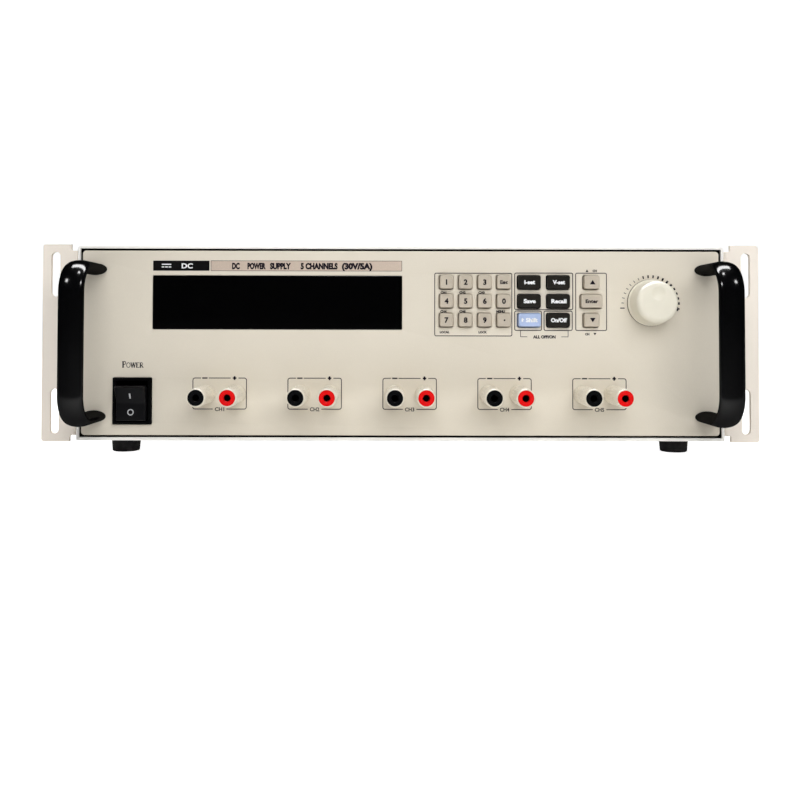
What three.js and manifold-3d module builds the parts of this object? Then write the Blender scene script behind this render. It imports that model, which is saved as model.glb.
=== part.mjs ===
// A five-channel bench power supply in a 3U case for a 19-inch rack, with its mains lead plugged in.
// Millimetres, +Z up. The front faces -Y, and +X is to the right of someone looking at the front.
// Each piece is drawn in the case's frame: x from the middle of the front, y from the front rim
// towards the back, z from the middle of the case's height. The last lines move the case's frame
// so that the origin lies under the middle of the footprint, on the plane that the feet stand on.

import * as THREE from "three";
import { mergeVertices } from "three/addons/utils/BufferGeometryUtils.js";
import Module from "manifold-3d";

const wasm = await Module();
wasm.setup();

// ---- Driving dimensions -------------------------------------------------------------------

const RACK = {
  width: 482.6, // over both ears, the 19-inch panel width
  height: 132.5, // a 3U panel
  slotX: 232.55, // from the middle to the rack's rail holes
  slotZ: 46, // from mid-height to the middle of each slot
  slotWidth: 6,
  slotLength: 30,
};
const CASE = { width: 436, height: 131, depth: 380, sheet: 2 };
const PANEL = { gap: 1.3, recess: 0.8, thickness: 3 };
const FIT = 0.3; // clearance round a part that moves or drops into a hole
const TOUCH = 0.05; // paint-thick gap between two parts that rest on each other

const EAR = { plate: 3, flange: 2.5, flangeDepth: 45, notchWidth: 4.2, notchHeight: 4.2 };
const HANDLE = { x: 206.3, legSpacing: 99, reach: 45.7, bend: 16, sectionX: 16.2, section: 8 };
const FOOT = { x: 194, front: 35, back: 335, height: 11.2, topRadius: 10.2, bottomRadius: 9.3 };

const WINDOW = { x: -83.3, z: 27.2, width: 167.8, height: 36, lip: 3 };
const SWITCH = { x: -180.3, z: -39.1, width: 26.4, height: 31.6, wellWidth: 20.6, wellHeight: 26.8 };
const ROCKER = { width: 19.6, height: 23.8, face: 4.9, rise: 3.2, pivotY: 1.5, tilt: 11, pinRadius: 1.5 };
const KNOB = { x: 168.5, z: 27.5, skirtRadius: 15.7, noseRadius: 13, height: 17.4, bore: 3.1 };
const SHAFT_RADIUS = 3;

const KEY_GRID = { z: 28.5, pitchX: 12.85, pitchZ: 12.75 };
const KEY = { stand: 3.5, travel: 1.2, corner: 1.2, lip: 0.8, lipDepth: 1 };
const NUMBER_KEYS = { x: 49.9, width: 9, height: 9 };
const FUNCTION_KEYS = { x: 96.3, pitchX: 19.6, width: 15, height: 9 };
const ARROW_KEYS = { x: 128.3, width: 10.2, enterWidth: 14.2, height: 9 };

const CHANNELS = { count: 5, pitch: 63.4, x: 6, z: -34.5, postSpacing: 20 };
const POST = { bushRadius: 6.3, bushLength: 8, studRadius: 3, socketRadius: 2.1, panelHole: 4.6 };
const CAP = { backRadius: 6.3, noseRadius: 6.1, faceRadius: 5.7, front: 34.2, bore: 3.4, mouth: 2.2 };

const BOARD = { thickness: 1.6, front: 8.6, left: 22, right: 190, dome: 5, encoder: 14 }; // behind the keys
const OUTPUT_BOARD = { y: 14, margin: 12, height: 26 };
const DISPLAY = { front: 2.4, glass: 7.5, inset: 4, boardMargin: 6 }; // front is behind the panel's back

const SIDE_VENTS = { count: 14, first: 120, pitch: 12, width: 4, height: 44 };
const TOP_VENTS = { count: 10, first: -108, pitch: 24, width: 5, front: 250, back: 320 };
const REAR_VENTS = { count: 11, first: -85, pitch: 11, width: 4, height: 60 };
const TRAY_WALL = { thickness: 1.6, height: 20, lip: 8 }; // the chassis's upturned edges

const TRANSFORMER = { x: -129, y: 150, inner: 24, outer: 78, height: 70, corner: 12 };
const POWER_BOARD = { left: -45, right: 125, front: 60, back: 330, lift: 8, rowPitch: 50 };
const HEATSINK = { x: 150, front: 70, back: 320, base: 6, depth: 40, fins: 9, pitch: 8, fin: 2.2 };
const FAN = { x: 95, z: 0, size: 80, depth: 25, hub: 17, bladeRadius: 36, ductRadius: 38, blades: 7 };
const GUARD = { rings: [12, 22, 32], wire: 1.6, stay: 2.4, reach: 51.4 };
const INLET = { x: -150, z: -18, flangeWidth: 32, flangeHeight: 58, flange: 2.5, bodyDepth: 24 };
const INLET_BODY = { width: 27, height: 48 };
const SOCKET = { width: 25, height: 17.4, depth: 17, dz: 13 }; // the mains inlet's recess
const FUSE = { width: 18, height: 11, depth: 20, dz: -15 };
const LEAD = { cableRadius: 3.7, noseGap: 0.5, body: 30, relief: 30 };
const HANK = { behind: 84, left: -118, right: 128 }; // the lead's tied loops, behind the rear panel
const PLUG = { x: 92, neck: 20, length: 38, width: 34, height: 24, corner: 12 }; // its back lies on the floor
const BLADE = { length: 17, width: 6.3, thickness: 1.6, spread: 8, lean: 30 }; // the plug's flat blades

const PINS = [
  // the inlet's three blades: offset from the recess's middle, and length
  { dx: -7, dz: -2, length: 13 },
  { dx: 7, dz: -2, length: 13 },
  { dx: 0, dz: 2.5, length: 15 },
];

// ---- Worked-out places --------------------------------------------------------------------

const HALF_WIDTH = CASE.width / 2;
const HALF_HEIGHT = CASE.height / 2;
const PANEL_FRONT = PANEL.recess;
const PANEL_BACK = PANEL.recess + PANEL.thickness;
const REAR = CASE.depth; // outer face of the rear panel
const FLOOR = -HALF_HEIGHT - FOOT.height; // plane the feet stand on

// ---- Solids -------------------------------------------------------------------------------

// A closed three.js geometry as a solid. Faces that collapse on an axis are dropped.
function solid(geometry) {
  const bare = geometry.clone();
  bare.deleteAttribute("normal");
  bare.deleteAttribute("uv");
  const merged = mergeVertices(bare, 1e-4);
  const index = merged.index.array;
  const faces = [];
  for (let i = 0; i < index.length; i += 3) {
    const [a, b, c] = [index[i], index[i + 1], index[i + 2]];
    if (a !== b && b !== c && c !== a) faces.push(a, b, c);
  }
  const vertProperties = merged.attributes.position.array;
  const make = (list) =>
    new wasm.Manifold(new wasm.Mesh({ numProp: 3, vertProperties, triVerts: new Uint32Array(list) }));
  const made = make(faces);
  if (made.volume() >= 0) return made;
  const turned = [];
  for (let i = 0; i < faces.length; i += 3) turned.push(faces[i], faces[i + 2], faces[i + 1]);
  return make(turned);
}

const union = (first, ...rest) => rest.reduce((sum, each) => sum.add(each), first);
const cut = (first, ...holes) => holes.reduce((left, hole) => left.subtract(hole), first);

// A box from its lowest to its highest corner.
function block(x0, x1, y0, y1, z0, z1) {
  const box = new THREE.BoxGeometry(x1 - x0, y1 - y0, z1 - z0);
  return solid(box.translate((x0 + x1) / 2, (y0 + y1) / 2, (z0 + z1) / 2));
}

// A box of the given width and height about (x, z), running along Y from y0 to y1.
const box = (x, z, width, height, y0, y1) =>
  block(x - width / 2, x + width / 2, y0, y1, z - height / 2, z + height / 2);

// A cylinder about an axis through (x, z), running along Y from y0 to y1.
function rod(x, z, radius, y0, y1, sides = 16) {
  const cylinder = new THREE.CylinderGeometry(radius, radius, y1 - y0, sides);
  return solid(cylinder.translate(x, (y0 + y1) / 2, z));
}

// A profile of [radius, y] points turned about the Y axis.
function turned(profile, sides = 16) {
  return solid(new THREE.LatheGeometry(profile.map(([r, y]) => new THREE.Vector2(r, y)), sides));
}

// A rectangle with rounded corners, centred on the origin.
function roundedRectangle(width, height, radius) {
  const [w, h] = [width / 2 - radius, height / 2 - radius];
  const shape = new THREE.Shape();
  shape.absarc(w, h, radius, 0, Math.PI / 2);
  shape.absarc(-w, h, radius, Math.PI / 2, Math.PI);
  shape.absarc(-w, -h, radius, Math.PI, 1.5 * Math.PI);
  shape.absarc(w, -h, radius, 1.5 * Math.PI, 2 * Math.PI);
  return shape;
}

// A shape drawn in X and Z, run along Y from y0 to y1.
function plate(shape, y0, y1, curveSegments = 3) {
  const options = { depth: y1 - y0, bevelEnabled: false, curveSegments };
  const slab = new THREE.ExtrudeGeometry(shape, options);
  return solid(slab.rotateX(Math.PI / 2).translate(0, y1, 0));
}

const bar = (x, z, width, height, radius, y0, y1, curveSegments = 3) =>
  plate(roundedRectangle(width, height, radius), y0, y1, curveSegments).translate([x, 0, z]);

// A closed polygon of [y, z] points, run along X from x0 to x1.
function profileAlongX(points, x0, x1) {
  const shape = new THREE.Shape(points.map(([y, z]) => new THREE.Vector2(y, z)));
  const slab = new THREE.ExtrudeGeometry(shape, { depth: x1 - x0, bevelEnabled: false });
  // shape x to Y, shape y to Z, depth to X
  const axes = new THREE.Matrix4().makeBasis(
    new THREE.Vector3(0, 1, 0),
    new THREE.Vector3(0, 0, 1),
    new THREE.Vector3(1, 0, 0),
  );
  return solid(slab.applyMatrix4(axes).translate(x0, 0, 0));
}

// An ellipse of the given half-sizes swept along a curve.
function sweep(curve, steps, halfX, halfY, sides) {
  const points = Array.from({ length: sides }, (_, i) => {
    const angle = (2 * Math.PI * i) / sides;
    return new THREE.Vector2(halfX * Math.cos(angle), halfY * Math.sin(angle));
  });
  return solid(new THREE.ExtrudeGeometry(new THREE.Shape(points), { steps, extrudePath: curve }));
}

// ---- Case ---------------------------------------------------------------------------------

const INSIDE = HALF_WIDTH - CASE.sheet; // half-width between the cover's side walls

function topCover() {
  const [w, h, sheet, depth] = [HALF_WIDTH, HALF_HEIGHT, CASE.sheet, CASE.depth];
  const shell = union(
    block(-w, w, 0, depth, h - sheet, h),
    block(-w, -w + sheet, 0, depth, -h, h),
    block(w - sheet, w, 0, depth, -h, h),
  );
  const [side, top] = [SIDE_VENTS, TOP_VENTS];
  const vents = [];
  for (let i = 0; i < side.count; i++) {
    const y = side.first + i * side.pitch; // one cutter makes a slot in both side walls
    vents.push(block(-w - 1, w + 1, y, y + side.width, -side.height / 2, side.height / 2));
  }
  for (let i = 0; i < top.count; i++) {
    const x = top.first + i * top.pitch;
    const half = top.width / 2;
    vents.push(block(x - half, x + half, top.front, top.back, h - 2 * sheet, h + 1));
  }
  return cut(shell, ...vents);
}

function chassis() {
  const [w, bottom, sheet] = [INSIDE - TOUCH, -HALF_HEIGHT, TRAY_WALL.thickness];
  const floor = bottom + CASE.sheet;
  const wallTop = floor + TRAY_WALL.height;
  const lipTop = floor + TRAY_WALL.lip;
  const front = PANEL_BACK + TOUCH;
  const back = REAR - CASE.sheet - TOUCH;
  return union(
    block(-w, w, 0, REAR, bottom, floor),
    block(-w, -w + sheet, front, back, bottom, wallTop),
    block(w - sheet, w, front, back, bottom, wallTop),
    block(-w, w, front, front + sheet, bottom, lipTop),
    block(-w, w, back - sheet, back, bottom, lipTop),
  );
}

function rearPanel() {
  const half = INSIDE - FIT;
  const bottom = -HALF_HEIGHT + CASE.sheet + TOUCH;
  const top = HALF_HEIGHT - CASE.sheet - TOUCH;
  const [y0, y1] = [REAR - CASE.sheet, REAR];
  const holes = [
    rod(FAN.x, FAN.z, FAN.ductRadius, y0 - 1, y1 + 1, 32),
    box(INLET.x, INLET.z, INLET_BODY.width + FIT, INLET_BODY.height + FIT, y0 - 1, y1 + 1),
  ];
  for (let i = 0; i < REAR_VENTS.count; i++) {
    const x = REAR_VENTS.first + i * REAR_VENTS.pitch;
    holes.push(box(x, 0, REAR_VENTS.width, REAR_VENTS.height, y0 - 1, y1 + 1));
  }
  return cut(block(-half, half, y0, y1, bottom, top), ...holes);
}

function foot() {
  const [top, bottom] = [0, -FOOT.height + TOUCH];
  const { topRadius, bottomRadius } = FOOT;
  const pad = turned([
    [0, top],
    [topRadius, top],
    [bottomRadius, bottom + 1],
    [bottomRadius - 1, bottom],
    [0, bottom],
  ]);
  return pad.rotate([90, 0, 0]); // the turning axis from Y to Z
}

// ---- Front panel --------------------------------------------------------------------------

// Every key: its name, place and size. Rows are counted from the top.
function keyPlaces() {
  const rowZ = (row) => KEY_GRID.z + (1 - row) * KEY_GRID.pitchZ;
  const numbers = [
    ["1", "2", "3", "escape"],
    ["4", "5", "6", "0"],
    ["7", "8", "9", "point"],
  ];
  const functions = [
    ["current_set", "voltage_set"],
    ["save", "recall"],
    ["shift", "output_on_off"],
  ];
  const places = [];
  numbers.forEach((names, row) =>
    names.forEach((name, column) => {
      const x = NUMBER_KEYS.x + (column - 1.5) * KEY_GRID.pitchX;
      places.push({ name, x, z: rowZ(row), width: NUMBER_KEYS.width, height: NUMBER_KEYS.height });
    }),
  );
  functions.forEach((names, row) =>
    names.forEach((name, column) => {
      const x = FUNCTION_KEYS.x + (column - 0.5) * FUNCTION_KEYS.pitchX;
      places.push({ name, x, z: rowZ(row), width: FUNCTION_KEYS.width, height: FUNCTION_KEYS.height });
    }),
  );
  ["up", "enter", "down"].forEach((name, row) => {
    const width = name === "enter" ? ARROW_KEYS.enterWidth : ARROW_KEYS.width;
    places.push({ name, x: ARROW_KEYS.x, z: rowZ(row), width, height: ARROW_KEYS.height });
  });
  return places;
}

// Every output post: its channel, sign and place.
function postPlaces() {
  const places = [];
  for (let i = 0; i < CHANNELS.count; i++) {
    const x = CHANNELS.x + (i - (CHANNELS.count - 1) / 2) * CHANNELS.pitch;
    const half = CHANNELS.postSpacing / 2;
    places.push({ channel: i + 1, sign: "minus", x: x - half, z: CHANNELS.z });
    places.push({ channel: i + 1, sign: "plus", x: x + half, z: CHANNELS.z });
  }
  return places;
}

function frontPanel() {
  const w = INSIDE - PANEL.gap;
  const h = HALF_HEIGHT - CASE.sheet - PANEL.gap;
  const [y0, y1] = [PANEL_FRONT - 1, PANEL_BACK + 1];
  const hole = (x, z, width, height, radius) =>
    bar(x, z, width + 2 * FIT, height + 2 * FIT, radius, y0, y1, 1);
  return cut(
    bar(0, 0, 2 * w, 2 * h, 1.5, PANEL_FRONT, PANEL_BACK, 2),
    hole(WINDOW.x, WINDOW.z, WINDOW.width, WINDOW.height, 0.5),
    hole(SWITCH.x, SWITCH.z, SWITCH.width - 3.5, SWITCH.height - 3, 0.5),
    rod(KNOB.x, KNOB.z, SHAFT_RADIUS + 1.2, y0, y1, 12),
    ...keyPlaces().map((key) => hole(key.x, key.z, key.width, key.height, KEY.corner)),
    ...postPlaces().map((place) => rod(place.x, place.z, POST.panelHole, y0, y1, 10)),
  );
}

function displayWindow() {
  const { x, z, width, height, lip } = WINDOW;
  const back = PANEL_BACK + 1.2;
  return union(
    bar(x, z, width, height, 0.5, PANEL_FRONT - 0.2, back, 2),
    bar(x, z, width + 2 * lip, height + 2 * lip, 1, PANEL_BACK + TOUCH, back, 2),
  );
}

// A vacuum-fluorescent display: its glass envelope on a small board.
function displayModule() {
  const { x, z, width, height } = WINDOW;
  const { glass, inset, boardMargin } = DISPLAY;
  const front = PANEL_BACK + DISPLAY.front;
  const boardFront = front + glass - 0.5;
  return union(
    box(x, z, width - 2 * inset, height - inset, front, front + glass),
    box(x, z, width + 2 * boardMargin, height + 2 * boardMargin, boardFront, boardFront + BOARD.thickness),
  );
}

// ---- Keys, knob and switch ----------------------------------------------------------------

// A key cap drawn about its own middle: the cap, and a lip behind the panel that holds it in.
function key(width, height) {
  const lip = PANEL_BACK + FIT;
  return union(
    plate(roundedRectangle(width, height, KEY.corner), PANEL_FRONT - KEY.stand, lip + 0.5, 1),
    box(0, 0, width + 2 * KEY.lip, height + 2 * KEY.lip, lip, lip + KEY.lipDepth),
  );
}

// The control board: a dome switch behind each key, and the encoder's housing behind the knob.
function controlBoard() {
  const domeFront = PANEL_BACK + FIT + KEY.lipDepth + KEY.travel + FIT;
  const { front, thickness, left, right, dome, encoder } = BOARD;
  const parts = [
    block(left, right, front, front + thickness, 0, HALF_HEIGHT - 10),
    ...keyPlaces().map((k) => box(k.x, k.z, dome, dome, domeFront, front + 0.5)),
    box(KNOB.x, KNOB.z, encoder, encoder, PANEL_BACK + 0.6, front + 0.5),
  ];
  return cut(union(...parts), rod(KNOB.x, KNOB.z, SHAFT_RADIUS + FIT, PANEL_BACK, front - 1, 16));
}

function encoderShaft() {
  const front = PANEL_FRONT - 13;
  const stem = rod(KNOB.x, KNOB.z, SHAFT_RADIUS, front, BOARD.front - 1 - FIT, 16);
  const flat = block(KNOB.x - 4, KNOB.x + 4, front - 1, front + 7, KNOB.z + 1.6, KNOB.z + 4);
  return cut(stem, flat);
}

// The knob tapers from a thin skirt to a flat nose, with a hollow for a fingertip near the top.
function knob() {
  const back = PANEL_FRONT - 0.6;
  const front = back - KNOB.height;
  const body = turned(
    [
      [KNOB.bore, back],
      [KNOB.skirtRadius, back],
      [KNOB.skirtRadius, back - 1.6],
      [KNOB.skirtRadius - 0.6, back - 2],
      [KNOB.noseRadius + 0.6, front + 2.2],
      [KNOB.noseRadius - 0.2, front + 0.6],
      [KNOB.noseRadius - 1.6, front],
      [0, front],
      [0, front + 5],
      [KNOB.bore, front + 5],
      [KNOB.bore, back],
    ],
    24,
  );
  const dimple = solid(new THREE.SphereGeometry(9, 16, 10)).translate([0, front - 7.8, 6.4]);
  return body.subtract(dimple).translate([KNOB.x, 0, KNOB.z]);
}

// The switch's housing: a bezel on the panel, a well for the rocker, and lugs at the back.
function switchBody() {
  const { x, z, width, height, wellWidth, wellHeight } = SWITCH;
  const wellBack = PANEL_BACK + 12;
  const lug = (dx, dz) => box(x + dx, z + dz, 0.8, 6, wellBack, wellBack + 11);
  const housing = union(
    bar(x, z, width, height, 0.8, PANEL_FRONT - 2, PANEL_FRONT - TOUCH, 2),
    box(x, z, width - 3.5, height - 3, PANEL_FRONT - 1, wellBack + 3),
    lug(-7.6, -5),
    lug(7.6, -5),
    lug(-7.6, 6),
    lug(7.6, 6),
  );
  const pinHole = rod(0, 0, ROCKER.pinRadius + 0.2, -wellWidth / 2 - 0.6, wellWidth / 2 + 0.6, 12)
    .rotate([0, 0, 90])
    .translate([x, ROCKER.pivotY, z]);
  return cut(
    housing,
    bar(x, z, wellWidth, wellHeight, 0.4, PANEL_FRONT - 3, wellBack, 1),
    pinHole,
  );
}

// The rocker: a shallow V in side view, drawn level and then tipped so that its upper half stands out.
function rocker() {
  const { width, height, face, rise, pivotY, tilt, pinRadius } = ROCKER;
  const half = height / 2;
  const end = -face - rise; // the V's outer ends, in front of the pivot
  const upper = [
    [end, half - 0.4],
    [end + 1.2, half],
    [-1, half - 1],
    [5, 6],
  ];
  const lower = upper.map(([y, z]) => [y, -z]).reverse();
  const paddle = profileAlongX([[-face, 0], ...upper, ...lower], -width / 2, width / 2);
  const pin = rod(0, 0, pinRadius, -width / 2 - 0.7, width / 2 + 0.7, 12).rotate([0, 0, 90]);
  return union(paddle, pin).rotate([tilt, 0, 0]).translate([SWITCH.x, pivotY, SWITCH.z]);
}

// ---- Output posts -------------------------------------------------------------------------

// One post about its own axis: a bush on the panel, and a brass stud with a plug socket in its end.
function post() {
  const bushFront = PANEL_FRONT - POST.bushLength;
  const studFront = PANEL_FRONT - CAP.front + 2.6;
  return turned(
    [
      [0, studFront + 18],
      [POST.socketRadius, studFront + 18],
      [POST.socketRadius, studFront],
      [POST.studRadius, studFront],
      [POST.studRadius, bushFront],
      [POST.bushRadius, bushFront],
      [POST.bushRadius, PANEL_FRONT - TOUCH],
      [POST.panelHole - FIT, PANEL_FRONT - TOUCH],
      [POST.panelHole - FIT, OUTPUT_BOARD.y + 0.8],
      [0, OUTPUT_BOARD.y + 0.8],
    ],
    10,
  );
}

function terminalBoard() {
  const posts = postPlaces();
  const [first, last] = [posts[0], posts[posts.length - 1]];
  const { y, margin, height } = OUTPUT_BOARD;
  const board = block(
    first.x - margin,
    last.x + margin,
    y,
    y + BOARD.thickness,
    CHANNELS.z - height / 2,
    CHANNELS.z + height / 2,
  );
  return union(board, ...posts.map((p) => post().translate([p.x, 0, p.z])));
}

// The cap that screws down on a post, about its own axis.
function terminalCap() {
  const front = PANEL_FRONT - CAP.front;
  const back = PANEL_FRONT - POST.bushLength - FIT;
  const shoulder = front + 2;
  return turned(
    [
      [CAP.bore, back],
      [CAP.backRadius, back],
      [CAP.backRadius, front + 12],
      [CAP.noseRadius, front + 0.6],
      [CAP.faceRadius, front],
      [CAP.mouth, front],
      [CAP.mouth, shoulder],
      [CAP.bore, shoulder],
      [CAP.bore, back],
    ],
    10,
  );
}

// ---- Ears and handles ---------------------------------------------------------------------

// The right ear: a plate with two rail slots, bent back along the case's side.
function rackEar() {
  const inner = HALF_WIDTH + TOUCH;
  const outer = RACK.width / 2;
  const half = RACK.height / 2;
  const foldHalf = half - EAR.notchHeight;
  const middle = (inner + EAR.notchWidth + outer) / 2;
  const slot = (z) =>
    bar(RACK.slotX, z, RACK.slotWidth, RACK.slotLength, RACK.slotWidth / 2 - 0.01, -1, EAR.plate + 1, 4);
  return cut(
    union(
      bar(middle, 0, outer - inner - EAR.notchWidth, 2 * half, 1.5, 0, EAR.plate),
      block(inner, middle, 0, EAR.plate, -foldHalf, foldHalf),
      block(inner, inner + EAR.flange, 0, EAR.flangeDepth, -foldHalf, foldHalf),
    ),
    slot(RACK.slotZ),
    slot(-RACK.slotZ),
  );
}

// A bow handle: out from the panel, round a bend, down and back, with a flattened oval section.
function handle(x) {
  const { legSpacing, reach, bend, sectionX, section } = HANDLE;
  const half = legSpacing / 2;
  const foot = PANEL_FRONT - TOUCH;
  const barY = PANEL_FRONT - reach;
  const at = (y, z) => new THREE.Vector3(x, y, z);
  const path = new THREE.CurvePath();
  const corner = (z, from) => {
    const arc = new THREE.Curve();
    arc.getPoint = (t) => {
      const angle = ((from + t) * Math.PI) / 2;
      return at(barY + bend - bend * Math.sin(angle), z + bend * Math.cos(angle));
    };
    return arc;
  };
  path.add(new THREE.LineCurve3(at(foot, half), at(barY + bend, half)));
  path.add(corner(half - bend, 0));
  path.add(new THREE.LineCurve3(at(barY, half - bend), at(barY, bend - half)));
  path.add(corner(bend - half, 1));
  path.add(new THREE.LineCurve3(at(barY + bend, -half), at(foot, -half)));
  return sweep(path, 24, section / 2, sectionX / 2, 12);
}

// ---- Inside -------------------------------------------------------------------------------

const TRAY = -HALF_HEIGHT + CASE.sheet + TOUCH; // top of the chassis floor

// A toroidal transformer, wound with rounded edges, lying flat on the chassis floor.
function transformer() {
  const { x, y, inner, outer, height, corner } = TRANSFORMER;
  const ring = turned(
    [
      [inner, corner],
      [inner + corner, 0],
      [outer - corner, 0],
      [outer, corner],
      [outer, height - corner],
      [outer - corner, height],
      [inner + corner, height],
      [inner, height - corner],
      [inner, corner],
    ],
    28,
  );
  return ring.rotate([90, 0, 0]).translate([x, y, TRAY]);
}

// The regulator board on four pillars, with its reservoir capacitors, chokes and relays.
function powerBoard() {
  const { left, right, front, back, lift, rowPitch } = POWER_BOARD;
  const [low, high] = [TRAY + lift, TRAY + lift + BOARD.thickness];
  const parts = [block(left, right, front, back, low, high)];
  for (const x of [left + 6, right - 6]) {
    for (const y of [front + 6, back - 6]) {
      parts.push(block(x - 3, x + 3, y - 3, y + 3, TRAY, low + 0.5));
    }
  }
  for (let i = 0; i < CHANNELS.count; i++) {
    const y = front + 28 + i * rowPitch;
    const can = rod(0, 0, 12.5, 0, 40, 16).rotate([90, 0, 0]);
    parts.push(can.translate([-15, y, high - 0.5]));
    parts.push(block(20, 44, y - 12, y + 12, high - 0.5, high + 18));
    parts.push(block(60, 74, y - 9, y + 9, high - 0.5, high + 14));
  }
  return union(...parts);
}

// A finned extrusion along the case, with its base towards the boards.
function heatsink() {
  const { x, front, back, base, depth, fins, pitch, fin } = HEATSINK;
  const bottom = TRAY + 6;
  const parts = [
    block(x, x + base, front, back, bottom, bottom + (fins - 1) * pitch + fin),
    block(x, x + base, front + 10, front + 30, TRAY, bottom + 1),
    block(x, x + base, back - 30, back - 10, TRAY, bottom + 1),
  ];
  for (let i = 0; i < fins; i++) {
    const z = bottom + i * pitch;
    parts.push(block(x + base - 0.5, x + depth, front, back, z, z + fin));
  }
  return union(...parts);
}

const FAN_BACK = REAR - CASE.sheet - TOUCH;

function fanFrame() {
  const [half, y0, y1] = [FAN.size / 2, FAN_BACK - FAN.depth, FAN_BACK];
  const duct = cut(
    bar(0, 0, FAN.size, FAN.size, 4, y0, y1, 3),
    rod(0, 0, FAN.ductRadius, y0 - 1, y1 + 1, 32),
  );
  const struts = [0, 90, 180, 270].map((turn) =>
    block(-2, 2, y0, y0 + 3, 0, half - 1).rotate([0, turn + 45, 0]),
  );
  const seat = rod(0, 0, FAN.hub, y0, y0 + 4, 20);
  return union(duct, seat, ...struts).translate([FAN.x, 0, FAN.z]);
}

function fanRotor() {
  const y0 = FAN_BACK - FAN.depth + 4.6;
  const y1 = FAN_BACK - 1.5;
  const hub = rod(0, 0, FAN.hub, y0, y1, 20);
  const blades = Array.from({ length: FAN.blades }, (_, i) =>
    block(-9, 9, -0.8, 0.8, FAN.hub - 3, FAN.bladeRadius)
      .rotate([0, 0, 40])
      .translate([0, (y0 + y1) / 2, 0])
      .rotate([0, (360 * i) / FAN.blades, 0]),
  );
  return union(hub, ...blades).translate([FAN.x, 0, FAN.z]);
}

// The finger guard: concentric rings on two crossed stays, held at the fan's corners.
function fanGuard() {
  const { rings, wire, stay, reach } = GUARD;
  const [y0, y1] = [REAR + TOUCH, REAR + stay];
  const ring = (radius) =>
    cut(
      rod(0, 0, radius + wire / 2, y1, y1 + wire, 20),
      rod(0, 0, radius - wire / 2, y1 - 1, y1 + wire + 1, 20),
    );
  const stays = [45, 135].map((turn) => box(0, 0, stay, 2 * reach, y0, y1 + 0.6).rotate([0, turn, 0]));
  return union(...stays, ...rings.map(ring)).translate([FAN.x, 0, FAN.z]);
}

// ---- Mains inlet, fuse and lead -----------------------------------------------------------

const SOCKET_Z = INLET.z + SOCKET.dz;
const FLANGE_BACK = REAR + TOUCH + INLET.flange; // the flange's face that is seen from behind
const SOCKET_FLOOR = FLANGE_BACK - SOCKET.depth;

// A socket's outline: a rectangle with its two lower corners cut off.
function socketShape(width, height) {
  const [w, h, c] = [width / 2, height / 2, 5];
  const points = [[-w, h], [-w, c - h], [c - w, -h], [w - c, -h], [w, c - h], [w, h]];
  return new THREE.Shape(points.map(([x, z]) => new THREE.Vector2(x, z)));
}

// One of the inlet's blades, or the hole for it when grown.
const blade = (pin, grow, y0, y1) =>
  box(INLET.x + pin.dx, SOCKET_Z + pin.dz, 2 + 2 * grow, 4 + 2 * grow, y0, y1);

function mainsInlet() {
  const { x, z, flangeWidth, flangeHeight, bodyDepth } = INLET;
  const bodyBack = REAR - CASE.sheet - bodyDepth;
  const socket = plate(socketShape(SOCKET.width, SOCKET.height), SOCKET_FLOOR, FLANGE_BACK + 1);
  const [fuseWidth, fuseHeight] = [FUSE.width + 2 * FIT, FUSE.height + 2 * FIT];
  const shell = cut(
    union(
      bar(x, z, flangeWidth, flangeHeight, 3, REAR + TOUCH, FLANGE_BACK, 3),
      box(x, z, INLET_BODY.width, INLET_BODY.height, bodyBack, REAR + 1),
    ),
    socket.translate([x, 0, SOCKET_Z]),
    box(x, z + FUSE.dz, fuseWidth, fuseHeight, FLANGE_BACK - FUSE.depth - FIT, FLANGE_BACK + 1),
  );
  const blades = PINS.map((pin) => blade(pin, 0, SOCKET_FLOOR - 1, SOCKET_FLOOR + pin.length));
  return union(shell, ...blades);
}

function fuseDrawer() {
  const [x, z] = [INLET.x, INLET.z + FUSE.dz];
  const back = FLANGE_BACK + 1.2;
  return cut(
    box(x, z, FUSE.width, FUSE.height, FLANGE_BACK - FUSE.depth, back),
    box(x, z - 2.5, 8, 2, FLANGE_BACK - 0.6, back + 1), // a slot for a fingernail
  );
}

// The lead's path over the floor behind the case: out of the connector, down, then a hank of
// three strands, tied in the middle, that ends at the plug.
function cablePath(start) {
  const low = FLOOR + LEAD.cableRadius + TOUCH; // a strand on the floor
  const high = low + 7.6; // a strand on top of two others
  const y = REAR + HANK.behind; // the hank's middle line
  const { left, right } = HANK;
  return new THREE.CatmullRomCurve3(
    [
      start,
      new THREE.Vector3(start.x, start.y + 14, start.z - 4),
      new THREE.Vector3(start.x + 8, start.y + 27, start.z - 24),
      new THREE.Vector3(start.x + 26, y + 22, low + 8),
      new THREE.Vector3(-92, y + 14, low),
      new THREE.Vector3(0, y + 4, low),
      new THREE.Vector3(80, y + 14, low),
      new THREE.Vector3(right - 12, y + 15, low),
      new THREE.Vector3(right, y, low),
      new THREE.Vector3(right - 12, y - 15, low),
      new THREE.Vector3(80, y - 13, low),
      new THREE.Vector3(0, y - 4, low),
      new THREE.Vector3(-70, y - 13, low),
      new THREE.Vector3(left + 12, y - 20, low),
      new THREE.Vector3(left, y - 8, low + 1),
      new THREE.Vector3(left + 14, y + 3, high - 2),
      new THREE.Vector3(-60, y + 3, high + 1),
      new THREE.Vector3(0, y, high),
      new THREE.Vector3(60, y, high - 1),
      new THREE.Vector3(96, y, low + 2),
    ],
    false,
    "catmullrom",
    0.5,
  );
}

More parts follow.
